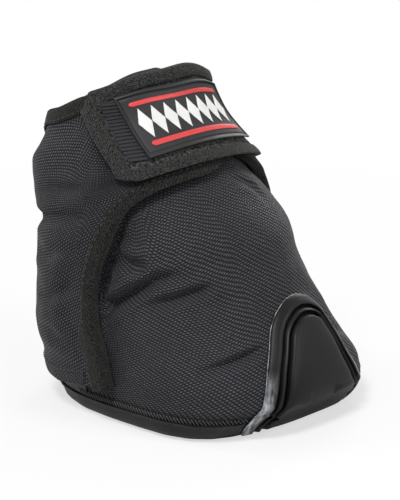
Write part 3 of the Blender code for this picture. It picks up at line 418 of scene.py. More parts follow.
for i in range(len(rings) - 1):
    for a in range(i * count, i * count + count - 1):
        faces += [(a, a + 1, a + 1 + count, a + count),
                  (layer + a + count, layer + a + 1 + count, layer + a + 1, layer + a)]
    faces += [(a, a + count, layer + a + count, layer + a) for a in (i * count, i * count + count - 1)]
last = (len(rings) - 1) * count
for j in range(count - 1):
    faces += [(last + j, last + j + 1, layer - 1), (layer + last + j + 1, layer + last + j, 2 * layer - 1),
              (j + 1, j, layer + j, layer + j + 1)]
faces += [(a, layer - 1, 2 * layer - 1, layer + a) for a in (last, last + count - 1)]
reach = np.append(guard_profile[:, 0], [panel_reach] * len(panel_shares))[:, None]
cloth = np.stack(np.broadcast_arrays(np.linspace(0, edge_run, count), reach), axis=-1).reshape(-1, 2)
cloth = np.append(cloth, [[0.0, panel_reach]], axis=0)
guard = add_piece("toe_guard_rubber", points, faces, guard_rubber, np.concatenate((cloth, cloth)))
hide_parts("toe_guard")
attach(guard, "boot")


def make_tree(name, sizes):
    """Start a Geometry Nodes tree with named inputs and a material input."""
    tree = bpy.data.node_groups.new(name, "GeometryNodeTree")
    tree.interface.new_socket("Geometry", in_out="OUTPUT", socket_type="NodeSocketGeometry")
    tree.interface.new_socket("Geometry", in_out="INPUT", socket_type="NodeSocketGeometry")
    for label, kind in sizes:
        tree.interface.new_socket(label, in_out="INPUT", socket_type=kind)
    tree.interface.new_socket("Finish", in_out="INPUT", socket_type="NodeSocketMaterial")
    return tree, put(tree, "NodeGroupInput")


def close_tree(tree, source, shape):
    """End a tree: make instances real, smooth them, give them their finish."""
    real = put(tree, "GeometryNodeRealizeInstances", {0: shape})
    smooth = put(tree, "GeometryNodeSetShadeSmooth", {0: real.outputs[0]})
    done = put(tree, "GeometryNodeSetMaterial", {0: smooth.outputs[0], 2: source.outputs["Finish"]})
    put(tree, "NodeGroupOutput", {0: done.outputs[0]})


def grow(name, tree, points, edges, marks, sizes, look):
    """Run a tree on points and edges that carry marks, and keep the result as a plain mesh."""
    mesh = bpy.data.meshes.new(name + "_guide")
    mesh.from_pydata(np.asarray(points, float).tolist(), edges, [])
    for label, values in marks.items():
        values = np.asarray(values, np.float32)
        kind, key = ("FLOAT_VECTOR", "vector") if values.ndim == 2 else ("FLOAT", "value")
        mesh.attributes.new(label, kind, "POINT").data.foreach_set(key, values.ravel())
    guide = placed(name + "_guide", mesh)
    step = guide.modifiers.new("grow", "NODES")
    step.node_group = tree
    for item in tree.interface.items_tree:
        if item.in_out == "INPUT" and item.name in sizes:
            step[item.identifier] = sizes[item.name]
        if item.in_out == "INPUT" and item.name == "Finish":
            step[item.identifier] = look
    ready = guide.evaluated_get(bpy.context.evaluated_depsgraph_get())
    made = bpy.data.meshes.new_from_object(ready)
    made.name = name
    piece = placed(name, made)
    bpy.data.objects.remove(guide)
    return piece


cord_tree, source = make_tree("Cord along a line", (
    ("Thickness", "NodeSocketFloat"), ("Sides", "NodeSocketInt")))
line = put(cord_tree, "GeometryNodeMeshToCurve", {0: source.outputs["Geometry"]})
thick = put(cord_tree, "GeometryNodeInputNamedAttribute", {"Name": "thick"}, data_type="FLOAT")
line = put(cord_tree, "GeometryNodeSetCurveRadius", {0: line.outputs[0], 2: thick.outputs[0]})
ring = put(cord_tree, "GeometryNodeCurvePrimitiveCircle", {"Resolution": source.outputs["Sides"],
                                                            "Radius": source.outputs["Thickness"]})
swept = put(cord_tree, "GeometryNodeCurveToMesh", {0: line.outputs[0], 1: ring.outputs[0],
                                                   "Scale": thick.outputs[0], "Fill Caps": True})
close_tree(cord_tree, source, swept.outputs[0])

tree, colour = guard_rubber.node_tree, guard_rubber.node_tree.nodes["Principled BSDF"].inputs["Base Color"]
plain = colour.links[0].from_socket
height = put(tree, "ShaderNodeSeparateXYZ", {0: on_object(tree)}).outputs[2]
from_edge = put(tree, "ShaderNodeSeparateXYZ", {0: on_cloth(tree)}).outputs[1]
drawn = put(tree, "ShaderNodeMapping", {"Vector": on_cloth(tree), "Scale": (160.0, 700.0, 1.0)}).outputs[0]
scuffs = compute(tree, "MULTIPLY", ramp(tree, height, 0.030, 0.016), ramp(tree, from_edge, 0.0042, 0.0008))
scuffs = compute(tree, "MULTIPLY", scuffs, ramp(tree, noise(tree, drawn, 1.0, 4.0), 0.36, 0.70, 0.10))
paint(guard_rubber, scuffs, plain, (0.52, 0.54, 0.57))

glue_look, tree = finish_of("grey_glue", (0.30, 0.31, 0.32), 0.45)
patch = ramp(tree, noise(tree, on_object(tree), 240.0, 4.0, 0.7), 0.36, 0.60)
paint(glue_look, patch, (0.035, 0.035, 0.038), (0.42, 0.43, 0.45))
bead_path = through(guard_edge, 420)
rough = np.convolve(np.random.default_rng(8).uniform(0, 1, 426), np.ones(7) / 7, "valid")
bead_size = 0.55 + 0.55 * np.clip((rough - 0.40) / 0.25, 0, 1)
bead_path[:, 1] = np.maximum(bead_path[:, 1], guard_foot + 0.0004)
glue = grow("glue_bead", cord_tree, on_boot(*bead_path.T, bead_seat),
            [(i, i + 1) for i in range(len(bead_path) - 1)], {"thick": bead_size},
            {"Thickness": bead_radius, "Sides": 6}, glue_look)
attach(glue, "boot")

# ---------------------------------------------------------------------------------------------------
# Inside of the sole: a stiff fibre board glued in the sole, and on it a foam footbed with a rolled edge,
# covered in dark knit. The hoof stands on the footbed.
def speckled(name, colour, dark, light, roughness, specular, scale, detail, *relief):
    """A material whose tone and fine relief follow one noise."""
    look, tree = finish_of(name, colour, roughness, specular)
    speck = noise(tree, on_object(tree), scale, detail)
    paint(look, speck, dark, light)
    if relief:
        emboss(look, speck, *relief)
    return look


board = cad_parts["midsole_board"]
board.data.materials.clear()
board.data.materials.append(speckled("fibre_board", (0.085, 0.078, 0.070), (0.05, 0.045, 0.04),
                                     (0.12, 0.11, 0.10), 0.85, 0.5, 420.0, 5.0))


def scaled(tree, vector, scale):
    """A vector times a number."""
    return put(tree, "ShaderNodeVectorMath", {0: vector, "Scale": scale}, operation="SCALE").outputs[0]


def dotted_cloth(name, dark, light, scale, randomness, edges, strength, depth, *constants):
    """Small staggered dots: the holes of a knit, or the tips of short fibres."""
    look, tree = finish_of(name, dark, *constants)
    cell = put(tree, "ShaderNodeTexVoronoi", {"Vector": scaled(tree, on_cloth(tree), scale), "Scale": 1.0,
                                              "Randomness": randomness})
    dot = ramp(tree, cell.outputs["Distance"], *edges)
    paint(look, dot, dark, light)
    emboss(look, dot, strength, depth)
    return look


def closed_sheet(name, face, rear, look, cloth=None):
    """Close an outer and an inner grid of points with a wall round both."""
    rows, columns = face.shape[:2]
    count = rows * columns
    a = (np.arange(rows - 1)[:, None] * columns + np.arange(columns - 1)[None, :]).ravel()
    quads = np.stack((a, a + 1, a + 1 + columns, a + columns), axis=1)
    rim = [*range(columns), *range(2 * columns - 1, count, columns), *range(count - 2, count - columns - 1, -1),
           *range(count - 2 * columns, 0, -columns)]
    faces = quads.tolist() + (quads[:, ::-1] + count).tolist()
    faces += [(a, a + count, b + count, b) for a, b in zip(rim, rim[1:] + rim[:1])]
    return add_piece(name, np.concatenate((face.reshape(-1, 3), rear.reshape(-1, 3))), faces, look, cloth)


def padded_panel(name, turn, height, outer, inner, look):
    """A padded panel from a grid of places, with an outer and an inner face and closed edges."""
    face, rear = on_boot(turn, height, outer), on_boot(turn, height, inner)
    across = run_length(face, axis=1)
    across -= across[:, turn.shape[1] // 2][:, None]
    cloth = np.stack((across, run_length(face, axis=0)), axis=-1).reshape(-1, 2)
    return closed_sheet(name, face, rear, look, np.concatenate((cloth, cloth)))


lining_knit = dotted_cloth("dark_knit", (0.010, 0.010, 0.011), (0.035, 0.035, 0.037), 620.0, 0.25, (0.10, 0.45),
                           0.5, 0.0003, 0.92, 0.25, ("Sheen Weight", 0.25), ("Sheen Roughness", 0.6))
turns = even_turns(-180, 180, 181)[:-1]
bed_low, bed_top, bed_inset, bed_roll = 0.0086, 0.0128, 0.0061, 0.0014
levels = [(0.0, bed_low), (0.0, bed_low + 0.0012), (0.0, bed_top - bed_roll)]
levels += [(bed_roll * (1 - math.cos(t)), bed_top - bed_roll + bed_roll * math.sin(t))
           for t in (0.4, 0.8, 1.2, 1.57)]
rows = [on_boot(turns, h, -bed_inset - inset) for inset, h in levels]
bed_middle = np.array((0.0, 0.0, bed_top))
for share in (0.93, 0.8, 0.6, 0.4, 0.2):
    flat = bed_middle + (rows[6] - bed_middle) * share
    flat[:, 2] = bed_top
    rows.append(flat)
points = np.concatenate(rows + [[bed_middle], [(0.0, 0.0, bed_low)]])
count, last = len(turns), (len(rows) - 1) * len(turns)
faces = ring_faces(len(rows), count)
for j in range(count):
    k = (j + 1) % count
    faces += [(last + j, last + k, len(points) - 2), (k, j, len(points) - 1)]
footbed = add_piece("foam_footbed", points, faces, lining_knit, points[:, :2])
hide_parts("footbed")
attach(footbed, "boot")

# ---------------------------------------------------------------------------------------------------
# Vamp: the large front panel of heavy basket weave nylon over foam, sewn down at the sole and tucked
# under both wings and the strap. It swells between its seams and has a few drawn creases.
vamp_rear, vamp_low, vamp_swell, vamp_deepest, vamp_tucked = 108.0, 0.0089, 0.0018, -0.0046, -0.0006
seam_flat, seam_rise, smooth_rounds, edge_gap = 0.002, 0.012, 2, 0.0009
vamp_top_middle, vamp_top_slope, lining_front, lining_rear, lining_sink = 0.112, 0.014, -0.0038, -0.0056, 0.0024
vamp_tape_in, vamp_tape_out, vamp_tape_wide = -0.0034, 0.0002, 0.0060
body_radius = 0.061  # turns degrees round the boot into a distance
shared_edge = ((89.0, 0.01650), (86.2, 0.02850), (83.0, 0.04200), (78.5, 0.05550), (73.0, 0.07200),
               (70.0, 0.08100), (64.0, 0.08955))
near_edge_points = np.array((
    *((-turn, height) for turn, height in shared_edge), (-55.0, 0.09675), (-42.5, 0.10200), (-25.5, 0.10530),
    (-10.0, 0.10710), (1.0, 0.11025), (8.0, 0.11700), (10.5, 0.12675), (8.0, 0.13575), (0.0, 0.14325)))
far_edge_points = np.array((
    *shared_edge, (56.0, 0.09675), (47.5, 0.10125), (38.0, 0.10500), (29.0, 0.10950), (24.0, 0.11625),
    (21.5, 0.12450), (22.0, 0.13275), (25.5, 0.13950), (32.0, 0.14280)))


def vamp_top(turn):
    """Height of the vamp's top edge round the boot."""
    return vamp_top_middle + vamp_top_slope * np.cos(np.radians(turn))


def distance_to(line, spots):
    """Least distance from each of many points to a line of points, and the nearest one's share along it."""
    best = np.full(spots.shape[:-1], 1e9)
    share = np.zeros(spots.shape[:-1])
    for k, spot in enumerate(line):
        d = ((spots - spot) ** 2).sum(-1)
        nearer = d < best
        best = np.where(nearer, d, best)
        share = np.where(nearer, k / (len(line) - 1), share)
    return np.sqrt(best), share


def bell(gap, width):
    """Fall smoothly from 1 to 0 as a gap grows past a width."""
    return np.exp(-(gap / width) ** 2)


def crease(spots, points, depth, width, lip=0.35):
    """A crease pressed into padded cloth along a line of (turn, height) points, with a soft lip beside it."""
    path = through(points, 60)
    d, share = distance_to(on_boot(*path.T), spots)
    ends = np.sin(np.pi * np.clip(share, 0.02, 0.98)) ** 0.7
    return depth * ends * (lip * bell(d - 2.1 * width, width) - bell(d, width))


def smooth_step(value):
    """Run smoothly from 0 to 1 as the value does."""
    value = np.clip(value, 0, 1)
    return value * value * (3 - 2 * value)


def broad_folds(turn, height, lines):
    """Main folds and swellings as shares: each line has its ends (turn, height), its reach and its rise."""
    place = np.stack((np.radians(np.abs(turn)) * body_radius, height), axis=-1)
    rise = 0 * height
    for start, end, reach, lift in lines:
        start, end = (np.array((math.radians(t) * body_radius, h)) for t, h in (start, end))
        along = np.clip((place - start) @ (end - start) / ((end - start) @ (end - start)), 0, 1)
        gap = np.linalg.norm(place - start - along[..., None] * (end - start), axis=-1)
        rise = rise + lift * bell(gap, reach)
    return rise


def soft_lumps(spots, size, seed):
    """Gentle uneven swelling of cloth over foam, about one size across, between -1 and 1."""
    rng = np.random.default_rng(seed)
    total = np.zeros(spots.shape[:-1])
    for _ in range(7):
        way = rng.normal(size=3)
        way /= np.linalg.norm(way)
        total += np.sin(spots @ way * 2 * np.pi / (size * rng.uniform(0.8, 1.6)) + rng.uniform(0, 6.3))
    return total / 3.5


def stirred(tree, place, reach, scale):
    """Move a place to and fro by noise, so that what is drawn there wavers."""
    waver = scaled(tree, noise(tree, on_object(tree), scale, 2.0, give="Color"), reach)
    return put(tree, "ShaderNodeVectorMath", {0: place, 1: waver}, operation="ADD").outputs[0]


def basket_nylon(name, dark, light, wide, tall, lean, skew):
    """Heavy basket weave: yarn crowns with painted highlights and hollows with painted shade take turns, like
    the squares of a chessboard.
    """
    look, tree = finish_of(name, dark, 0.58, 0.22, ("Sheen Weight", 0.05), ("Sheen Roughness", 0.4))
    laid = put(tree, "ShaderNodeMapping", {"Vector": stirred(tree, on_cloth(tree), tall * 0.35, 150.0),
                                           "Rotation": (0, 0, lean)})
    parts = put(tree, "ShaderNodeSeparateXYZ", {0: laid.outputs[0]}).outputs
    across = compute(tree, "MULTIPLY_ADD", parts[1], skew, parts[0])
    warp = compute(tree, "SINE", compute(tree, "MULTIPLY", across, math.pi / wide))
    weft = compute(tree, "SINE", compute(tree, "MULTIPLY", parts[1], math.pi / tall))
    crown = ramp(tree, compute(tree, "MULTIPLY", warp, weft), -0.85, 0.95)
    # painted light: crowns along the warp are brighter, as if lit from one side, and a fine noise spreads the
    # painted highlight unevenly from crown to crown
    ridge = compute(tree, "MULTIPLY_ADD", compute(tree, "MULTIPLY", warp, warp), 0.62, 0.38)
    uneven = ramp(tree, noise(tree, on_object(tree), 900.0, 2.0), 0.3, 0.7, 0.62, 1.25)
    haze = ramp(tree, noise(tree, on_object(tree), 38.0, 3.0), 0.3, 0.7, 0.80, 1.12)
    # the tone is painted highlight on the yarn crowns and painted shade in the hollows
    level = compute(tree, "POWER", crown, 1.8)
    for factor in (uneven, ridge, haze):
        level = compute(tree, "MULTIPLY", level, factor)
    paint(look, level, dark, light)
    feed_shader(look, "Roughness", ramp(tree, level, 0.0, 0.8, 0.90, 0.42))
    emboss(look, crown, 0.9, 0.00030)
    return look


def upright_grid(turns, rows, low, top):
    """Places of a panel that runs straight up from a low to a top edge, and the share of the way up."""
    share = np.linspace(0, 1, rows)[:, None]
    return np.repeat(turns[None, :], rows, axis=0), low * (1 - share) + top * share, share


weave_wide, weave_tall = 0.00150, 0.00076
vamp_nylon = basket_nylon("charcoal_nylon", (0.0058, 0.0058, 0.0069), (0.090, 0.087, 0.102), weave_wide,
                          weave_tall, 0.0, -0.74)
turns = even_turns(-vamp_rear, vamp_rear, 250)
turn, height, _ = upright_grid(turns, 170, vamp_low, vamp_top(turns) - edge_gap)
spots = on_boot(turn, height)
near_edge, far_edge = through(near_edge_points, 160), through(far_edge_points, 160)
wing_line = np.concatenate((near_edge[:130], far_edge[:130]))
to_wing, _ = distance_to(on_boot(*wing_line.T), spots)
wing_edges = np.concatenate((near_edge_points[:12], far_edge_points[:12][::-1]))
shown = height < np.interp(turn, *wing_edges.T, left=0.0, right=0.0)
to_guard, _ = distance_to(on_boot(*guard_edge.T), spots)
near_side = np.interp(height, guard_edge[:70, 1], guard_edge[:70, 0])
far_side = np.interp(height, guard_edge[:70:-1, 1], guard_edge[:70:-1, 0])
under_guard = (turn > near_side) & (turn < far_side) & (height < guard_top)
to_seam = np.minimum(np.minimum(to_wing, to_guard), height - vamp_low)
folds = broad_folds(turn, height, (((77, 0.0468), (39, 0.0608), 0.0057, -0.9),
                                   ((46, 0.0292), (24, 0.036), 0.0048, -0.5)))
swell = vamp_swell * smooth_step((to_seam - seam_flat) / seam_rise) * (1 + folds)
swell += 0.00035 * soft_lumps(spots, 0.030, 3) + 0.00014 * soft_lumps(spots, 0.009, 5)
for points, depth, width in (
        (((-84, 0.0430), (-82, 0.0462), (-69.5, 0.0530), (-57.5, 0.0605), (-49, 0.0653), (-43, 0.0665)),
         0.0054, 0.0025),
        (((-66, 0.0850), (-71, 0.0785), (-76.5, 0.0650), (-81, 0.0520), (-84, 0.0400)), 0.0048, 0.0040),
        (((-55, 0.0536), (-46.5, 0.0568), (-39, 0.0595), (-31, 0.0625)), 0.0036, 0.0020),
        (((-72, 0.0710), (-66, 0.0712), (-60, 0.0700), (-53, 0.0680)), 0.0034, 0.0026),
        (((-48, 0.0292), (-37, 0.0328), (-28, 0.0355), (-18, 0.0380)), 0.0036, 0.0019),
        (((-38, 0.0560), (-28, 0.0573), (-19, 0.0557)), 0.0009, 0.0024),
        (((80, 0.0450), (68, 0.0530), (56, 0.0600), (42, 0.0635)), 0.0030, 0.0026),
        (((46, 0.0280), (36, 0.0320), (24, 0.0350)), 0.0018, 0.0020),
        (((1, 0.1020), (9.5, 0.1005), (17, 0.0970), (19, 0.0910)), 0.0016, 0.0024)):
    swell += crease(spots, points, depth, width)
# a hollow beside the guard's far foot, flat under the guard, sunk along the wings and deepest in their pocket
swell -= 0.0014 * bell(turn - 38, 9) * bell(height - 0.034, 0.010)
swell *= smooth_step(to_guard / 0.004)
swell -= 0.0009 * bell(to_wing, 0.0030)
pocket = np.exp(-((height - 0.062) / 0.020) ** 4) * (turn < 0)
swell -= 0.0034 * pocket * bell(to_wing - 0.0040, 0.0048)
# small gathers where the cloth is sewn down at the sole
above_sole = height - vamp_low
gather = np.sin(np.radians(turn) * 95) * bell(above_sole, 0.006)
swell = swell * (1 - bell(above_sole, 0.006)) + 0.00018 * gather
swell -= 0.0010 * bell(above_sole, 0.0022)
swell = np.where(shown, np.maximum(swell, vamp_deepest), vamp_tucked)
swell = np.where(under_guard, np.minimum(swell, 0.0), swell)
for _ in range(smooth_rounds):
    swell[1:-1, 1:-1] = (swell[1:-1, 1:-1] * 4 + swell[:-2, 1:-1] + swell[2:, 1:-1] + swell[1:-1, :-2]
                         + swell[1:-1, 2:]) / 8
vamp = padded_panel("nylon_vamp", turn, height, swell, np.minimum(swell - 0.0010, -0.0014), vamp_nylon)
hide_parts("vamp_shell")
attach(vamp, "boot")

turns = even_turns(-vamp_rear, vamp_rear, 120)
turn, height, _ = upright_grid(turns, 70, vamp_low, vamp_top(turns) - 0.009)
soft = 0.0004 * soft_lumps(on_boot(turn, height), 0.025, 11)
sunk = lining_sink * smooth_step((height - 0.014) / 0.010) * smooth_step((0.105 - height) / 0.020)
vamp_lining = padded_panel("vamp_foam_lining", turn, height, lining_front - sunk, lining_rear - sunk + soft,
                           lining_knit)
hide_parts("vamp_lining")
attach(vamp_lining, "boot")


def felt_tape(name, dark, light, ridge):
    """Folded felt tape with low slanting ridges and short fibres."""
    look, tree = finish_of(name, dark, 0.95, 0.08, ("Sheen Weight", 0.10), ("Sheen Roughness", 0.55),
                           ("Sheen Tint", (0.7, 0.7, 0.66, 1)))
    parts = put(tree, "ShaderNodeSeparateXYZ", {0: on_cloth(tree)}).outputs
    slanted = compute(tree, "MULTIPLY_ADD", parts[0], 0.9, parts[1])
    wave = compute(tree, "SINE", compute(tree, "MULTIPLY", slanted, 2 * math.pi / ridge))
    strands = put(tree, "ShaderNodeMapping", {"Vector": on_cloth(tree), "Scale": (900.0, 3200.0, 1.0)})
    fibre = noise(tree, strands.outputs[0], 1.0, 4.0, 0.7)
    clump = noise(tree, on_object(tree), 1300.0, 3.0)
    tone = ramp(tree, compute(tree, "MULTIPLY", fibre, clump), 0.17, 0.36)
    paint(look, compute(tree, "ADD", tone, compute(tree, "MULTIPLY", wave, 0.20), use_clamp=True), dark, light)
    emboss(look, compute(tree, "MULTIPLY_ADD", wave, 0.10, fibre), 0.6, 0.00035)
    return look


tape_lap, tape_nose = 0.0003, 0.0009


def bound_edge(name, path, side, inner, outer, width, look, plump=0.00025, wall=0.0006):
    """A folded tape that clasps an edge: a U with a round fold, carried along a (turn, height) path."""
    middle, half = (inner + outer) / 2, (outer - inner) / 2
    outline = [(width, outer - tape_lap)]
    for share in (0.93, 0.8, 0.6, 0.4, 0.2):
        outline.append((width * share, outer + plump * math.sin(math.pi * min(share * 1.1, 1))))
    for angle in (1.57, 0.9, 0.3, -0.3, -0.9, -1.57):
        outline.append((-tape_nose * math.cos(angle), middle + half * math.sin(angle)))
    outline += [(width * share, inner) for share in (0.3, 0.7, 1)]
    outline += [(width, inner + wall), (width * 0.5, inner + wall), (wall, inner + wall), (wall, outer - wall),
                (width * 0.5, outer - wall), (width, outer - wall)]
    rings = []
    for reach, out in outline:
        moved = move_over(path, reach, side)
        rings.append(on_boot(*moved.T, out))
    return run_outline(name, np.stack(rings, axis=1), look)


binding_felt = felt_tape("black_felt_tape", (0.0018, 0.0018, 0.0018), (0.031, 0.031, 0.030), 0.0016)
turn = even_turns(-vamp_rear, vamp_rear, 90, 0.115)
vamp_tape = bound_edge("vamp_top_tape", np.stack((turn, vamp_top(turn)), axis=-1), -1, vamp_tape_in,
                       vamp_tape_out, vamp_tape_wide, binding_felt, plump=0.0)
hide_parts("vamp_top_binding")
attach(vamp_tape, "boot")


def place_along(path, out, pitch, trim=0.0):
    """Evenly spaced seats on a (turn, height) path, with the path's direction and the way out at each."""
    line = on_boot(*path.T, out)
    far = run_length(line)
    at = np.arange(trim + pitch / 2, far[-1] - trim, pitch)

    def read(values, at):
        return np.stack([np.interp(at, far, column) for column in values.T], axis=-1)

    seats, ahead = read(path, at), read(line, at + pitch / 4) - read(line, at - pitch / 4)
    ahead /= np.linalg.norm(ahead, axis=1)[:, None]
    return read(line, at), ahead, boot_axes(*seats.T)[2]


stitch_tree, source = make_tree("Row of stitches", (
    ("Stitch Length", "NodeSocketFloat"), ("Thread Thickness", "NodeSocketFloat"),
    ("Wander", "NodeSocketFloat"), ("Seed", "NodeSocketInt")))
along = put(stitch_tree, "GeometryNodeInputNamedAttribute", {"Name": "along"}, data_type="FLOAT_VECTOR")
outward = put(stitch_tree, "GeometryNodeInputNamedAttribute", {"Name": "outward"}, data_type="FLOAT_VECTOR")
facing = put(stitch_tree, "FunctionNodeAlignRotationToVector", {"Vector": along.outputs[0]}, axis="X")
facing = put(stitch_tree, "FunctionNodeAlignRotationToVector", {
    "Rotation": facing.outputs[0], "Vector": outward.outputs[0]}, axis="Z", pivot_axis="X")
less = compute(stitch_tree, "MULTIPLY", source.outputs["Wander"], -1.0)
stray = put(stitch_tree, "FunctionNodeRandomValue", {2: less, 3: source.outputs["Wander"],
                                                     "Seed": source.outputs["Seed"]}, data_type="FLOAT")
twist = put(stitch_tree, "ShaderNodeCombineXYZ", {2: stray.outputs[1]})
facing = put(stitch_tree, "FunctionNodeRotateRotation", {0: facing.outputs[0], 1: twist.outputs[0]},
             rotation_space="LOCAL")
bead = put(stitch_tree, "GeometryNodeMeshUVSphere", {"Segments": 8, "Rings": 6, "Radius": 0.5})
thickness = source.outputs["Thread Thickness"]
size = put(stitch_tree, "ShaderNodeCombineXYZ", {0: source.outputs["Stitch Length"], 1: thickness, 2: thickness})
laid = put(stitch_tree, "GeometryNodeInstanceOnPoints", {
    "Points": source.outputs["Geometry"], "Instance": bead.outputs[0], "Rotation": facing.outputs[0],
    "Scale": size.outputs[0]})
close_tree(stitch_tree, source, laid.outputs[0])

thread_look = speckled("black_thread", (0.020, 0.020, 0.021), (0.003, 0.003, 0.003), (0.022, 0.022, 0.023), 0.5,
                       0.5, 2600.0, 2.0, 0.5, 0.0001)
# how each seam is sewn: pitch, stitch length, thread thickness and wander
sole_stitch, tape_stitch = (0.00168, 0.0038, 0.0008, 0.10), (0.0034, 0.0019, 0.00055, 0.08)
panel_stitch, anchor_stitch = (0.0030, 0.0023, 0.0005, 0.05), (0.0030, 0.0023, 0.0006, 0.06)
sole_seam_height, sole_seam_out, stitch_lift = 0.0098, 0.0004, 0.0006


def places(turn, height):
    """A (turn, height) path from its turns and its heights."""
    return np.stack(np.broadcast_arrays(turn, height), axis=-1)


def stitch_row(name, path, out, pitch, length, thickness, wander, seed, trim=0.0, slant=None):
    """Sew a row of stitches along a (turn, height) path; slant is each stitch's share along and down."""
    spots, ahead, outward = place_along(path, out, pitch, trim)
    if slant:
        lift = np.cross(outward, ahead)
        lift *= np.sign(lift[:, 2])[:, None]
        ahead = ahead * slant[0] - lift * slant[1]
    sizes = {"Stitch Length": length, "Thread Thickness": thickness, "Wander": wander, "Seed": seed}
    return grow(name, stitch_tree, spots, [], {"along": ahead, "outward": outward}, sizes, thread_look)


turn = even_turns(-104, 104, 300, 0.010)
for side, run in (("near", turn[turn < -26]), ("far", turn[turn > 33][::-1])):
    row = stitch_row(f"sole_seam_{side}", places(run, sole_seam_height), sole_seam_out, *sole_stitch, 4,
                     slant=(0.62, 0.78))
    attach(row, "boot")

# ---------------------------------------------------------------------------------------------------
# Side covers: each wing and its half of the heel are one padded nylon panel, joined by a seam down the
# back of the heel.
hem_height, cover_in, cover_out, tape_in, tape_out = 0.0132, 0.0037, 0.0055, 0.0007, 0.0066
fold_out, fold_half, heel_gap_turn, panel_inset, hem_turn, foot_turn = 0.0140, 0.0060, 0.012, 0.0011, 112, 96.0
cover_swell, cover_seam, cover_rise, cover_deepest = 0.0022, 0.0085, 0.012, -0.0009
side_lining_out, side_lining_in, heel_pad_front, heel_pad_rear = 0.0032, 0.0018, 0.0003, -0.0041
wing_rear_turn, strap_rear_turn, tip_turn, tip_lean = 92.0, 88.0, 62.0, 28.0
collar_middle, collar_slope, collar_bulge, strap_low_middle, strap_low_slope = 0.133, 0.017, 0.003, 0.097, 0.0155


def collar_top(turn):
    """Height of the boot's top edge round the boot."""
    rear_corner = 0.0042 * bell(np.abs(turn) - 137, 20)
    lean = 0.0014 * bell(turn + 86, 14) - 0.0010 * bell(turn + 16, 20) - 0.0020 * bell(turn - 42, 18)
    turn = np.radians(turn)
    return collar_middle + collar_slope * np.cos(turn) + collar_bulge * np.sin(turn) ** 2 + rear_corner + lean


def wing_edge(edge_points, sign, end_turn):
    """A wing's edge from its foot round the tip and back along the collar to a turn at the heel."""
    edge = through(edge_points, 120)
    tip = edge[-1, 0]
    turn = np.linspace(tip, end_turn, 140)
    blend = smooth_step(np.abs(turn - tip) / (abs(sign * wing_rear_turn - tip) / 6))
    return edge, places(turn, edge[-1, 1] * (1 - blend) + collar_top(turn) * blend)


def fill_between(left, right, low, top):
    """Fill a four sided outline with a grid of places; each side is a list of (turn, height)."""
    v, u = np.linspace(0, 1, len(left))[:, None, None], np.linspace(0, 1, len(low))[None, :, None]
    corners = ((1 - u) * (1 - v) * low[0] + u * (1 - v) * low[-1] + (1 - u) * v * top[0] + u * v * top[-1])
    grid = (1 - u) * left[:, None] + u * right[:, None] + (1 - v) * low[None] + v * top[None] - corners
    return grid[..., 0], grid[..., 1]


def spread(path, count):
    """Read a (turn, height) path at evenly spaced places on the form."""
    far = run_length(on_boot(*path.T))
    at = np.linspace(0, far[-1], count)
    return np.stack([np.interp(at, far, path[:, k]) for k in range(2)], axis=-1)


def fold_line(sign):
    """Two points on a line across a wing's rear line, a fold's half width to each side of its middle."""
    low = on_boot(sign * foot_turn, shared_edge[0][1], fold_out)
    top = on_boot(sign * wing_rear_turn, collar_top(wing_rear_turn), fold_out)
    aim = np.cross((top - low) / np.linalg.norm(top - low), np.array((1.0, 0, 0)))
    aim *= -np.sign(aim[1]) / np.linalg.norm(aim)
    middle = (low + top) / 2
    return middle - aim * fold_half, middle + aim * fold_half


def strap_low(turn):
    """Height of the strap's lower edge round the boot."""
    return strap_low_middle + strap_low_slope * np.cos(np.radians(turn))


def side_grid(inner, split, end_turn, rows, columns):
    """Places of one side's panel, from the heel seam to the wing's edge, and its outline."""
    sign, foot = np.sign(end_turn), hem_height + panel_inset
    right = spread(inner[:split], rows)
    top = spread(inner[split - 1:], columns)[::-1]
    left = places(end_turn, np.linspace(foot, top[0, 1], rows))
    top[0, 0] = end_turn
    low_turns = np.linspace(end_turn, right[0, 0], columns)
    low_rise = np.clip((sign * hem_turn - low_turns) * sign / 20, 0, 1)
    low = places(low_turns, foot + (right[0, 1] - foot) * low_rise)
    return *fill_between(left, right, low, top), np.concatenate((low, right, top[::-1]))
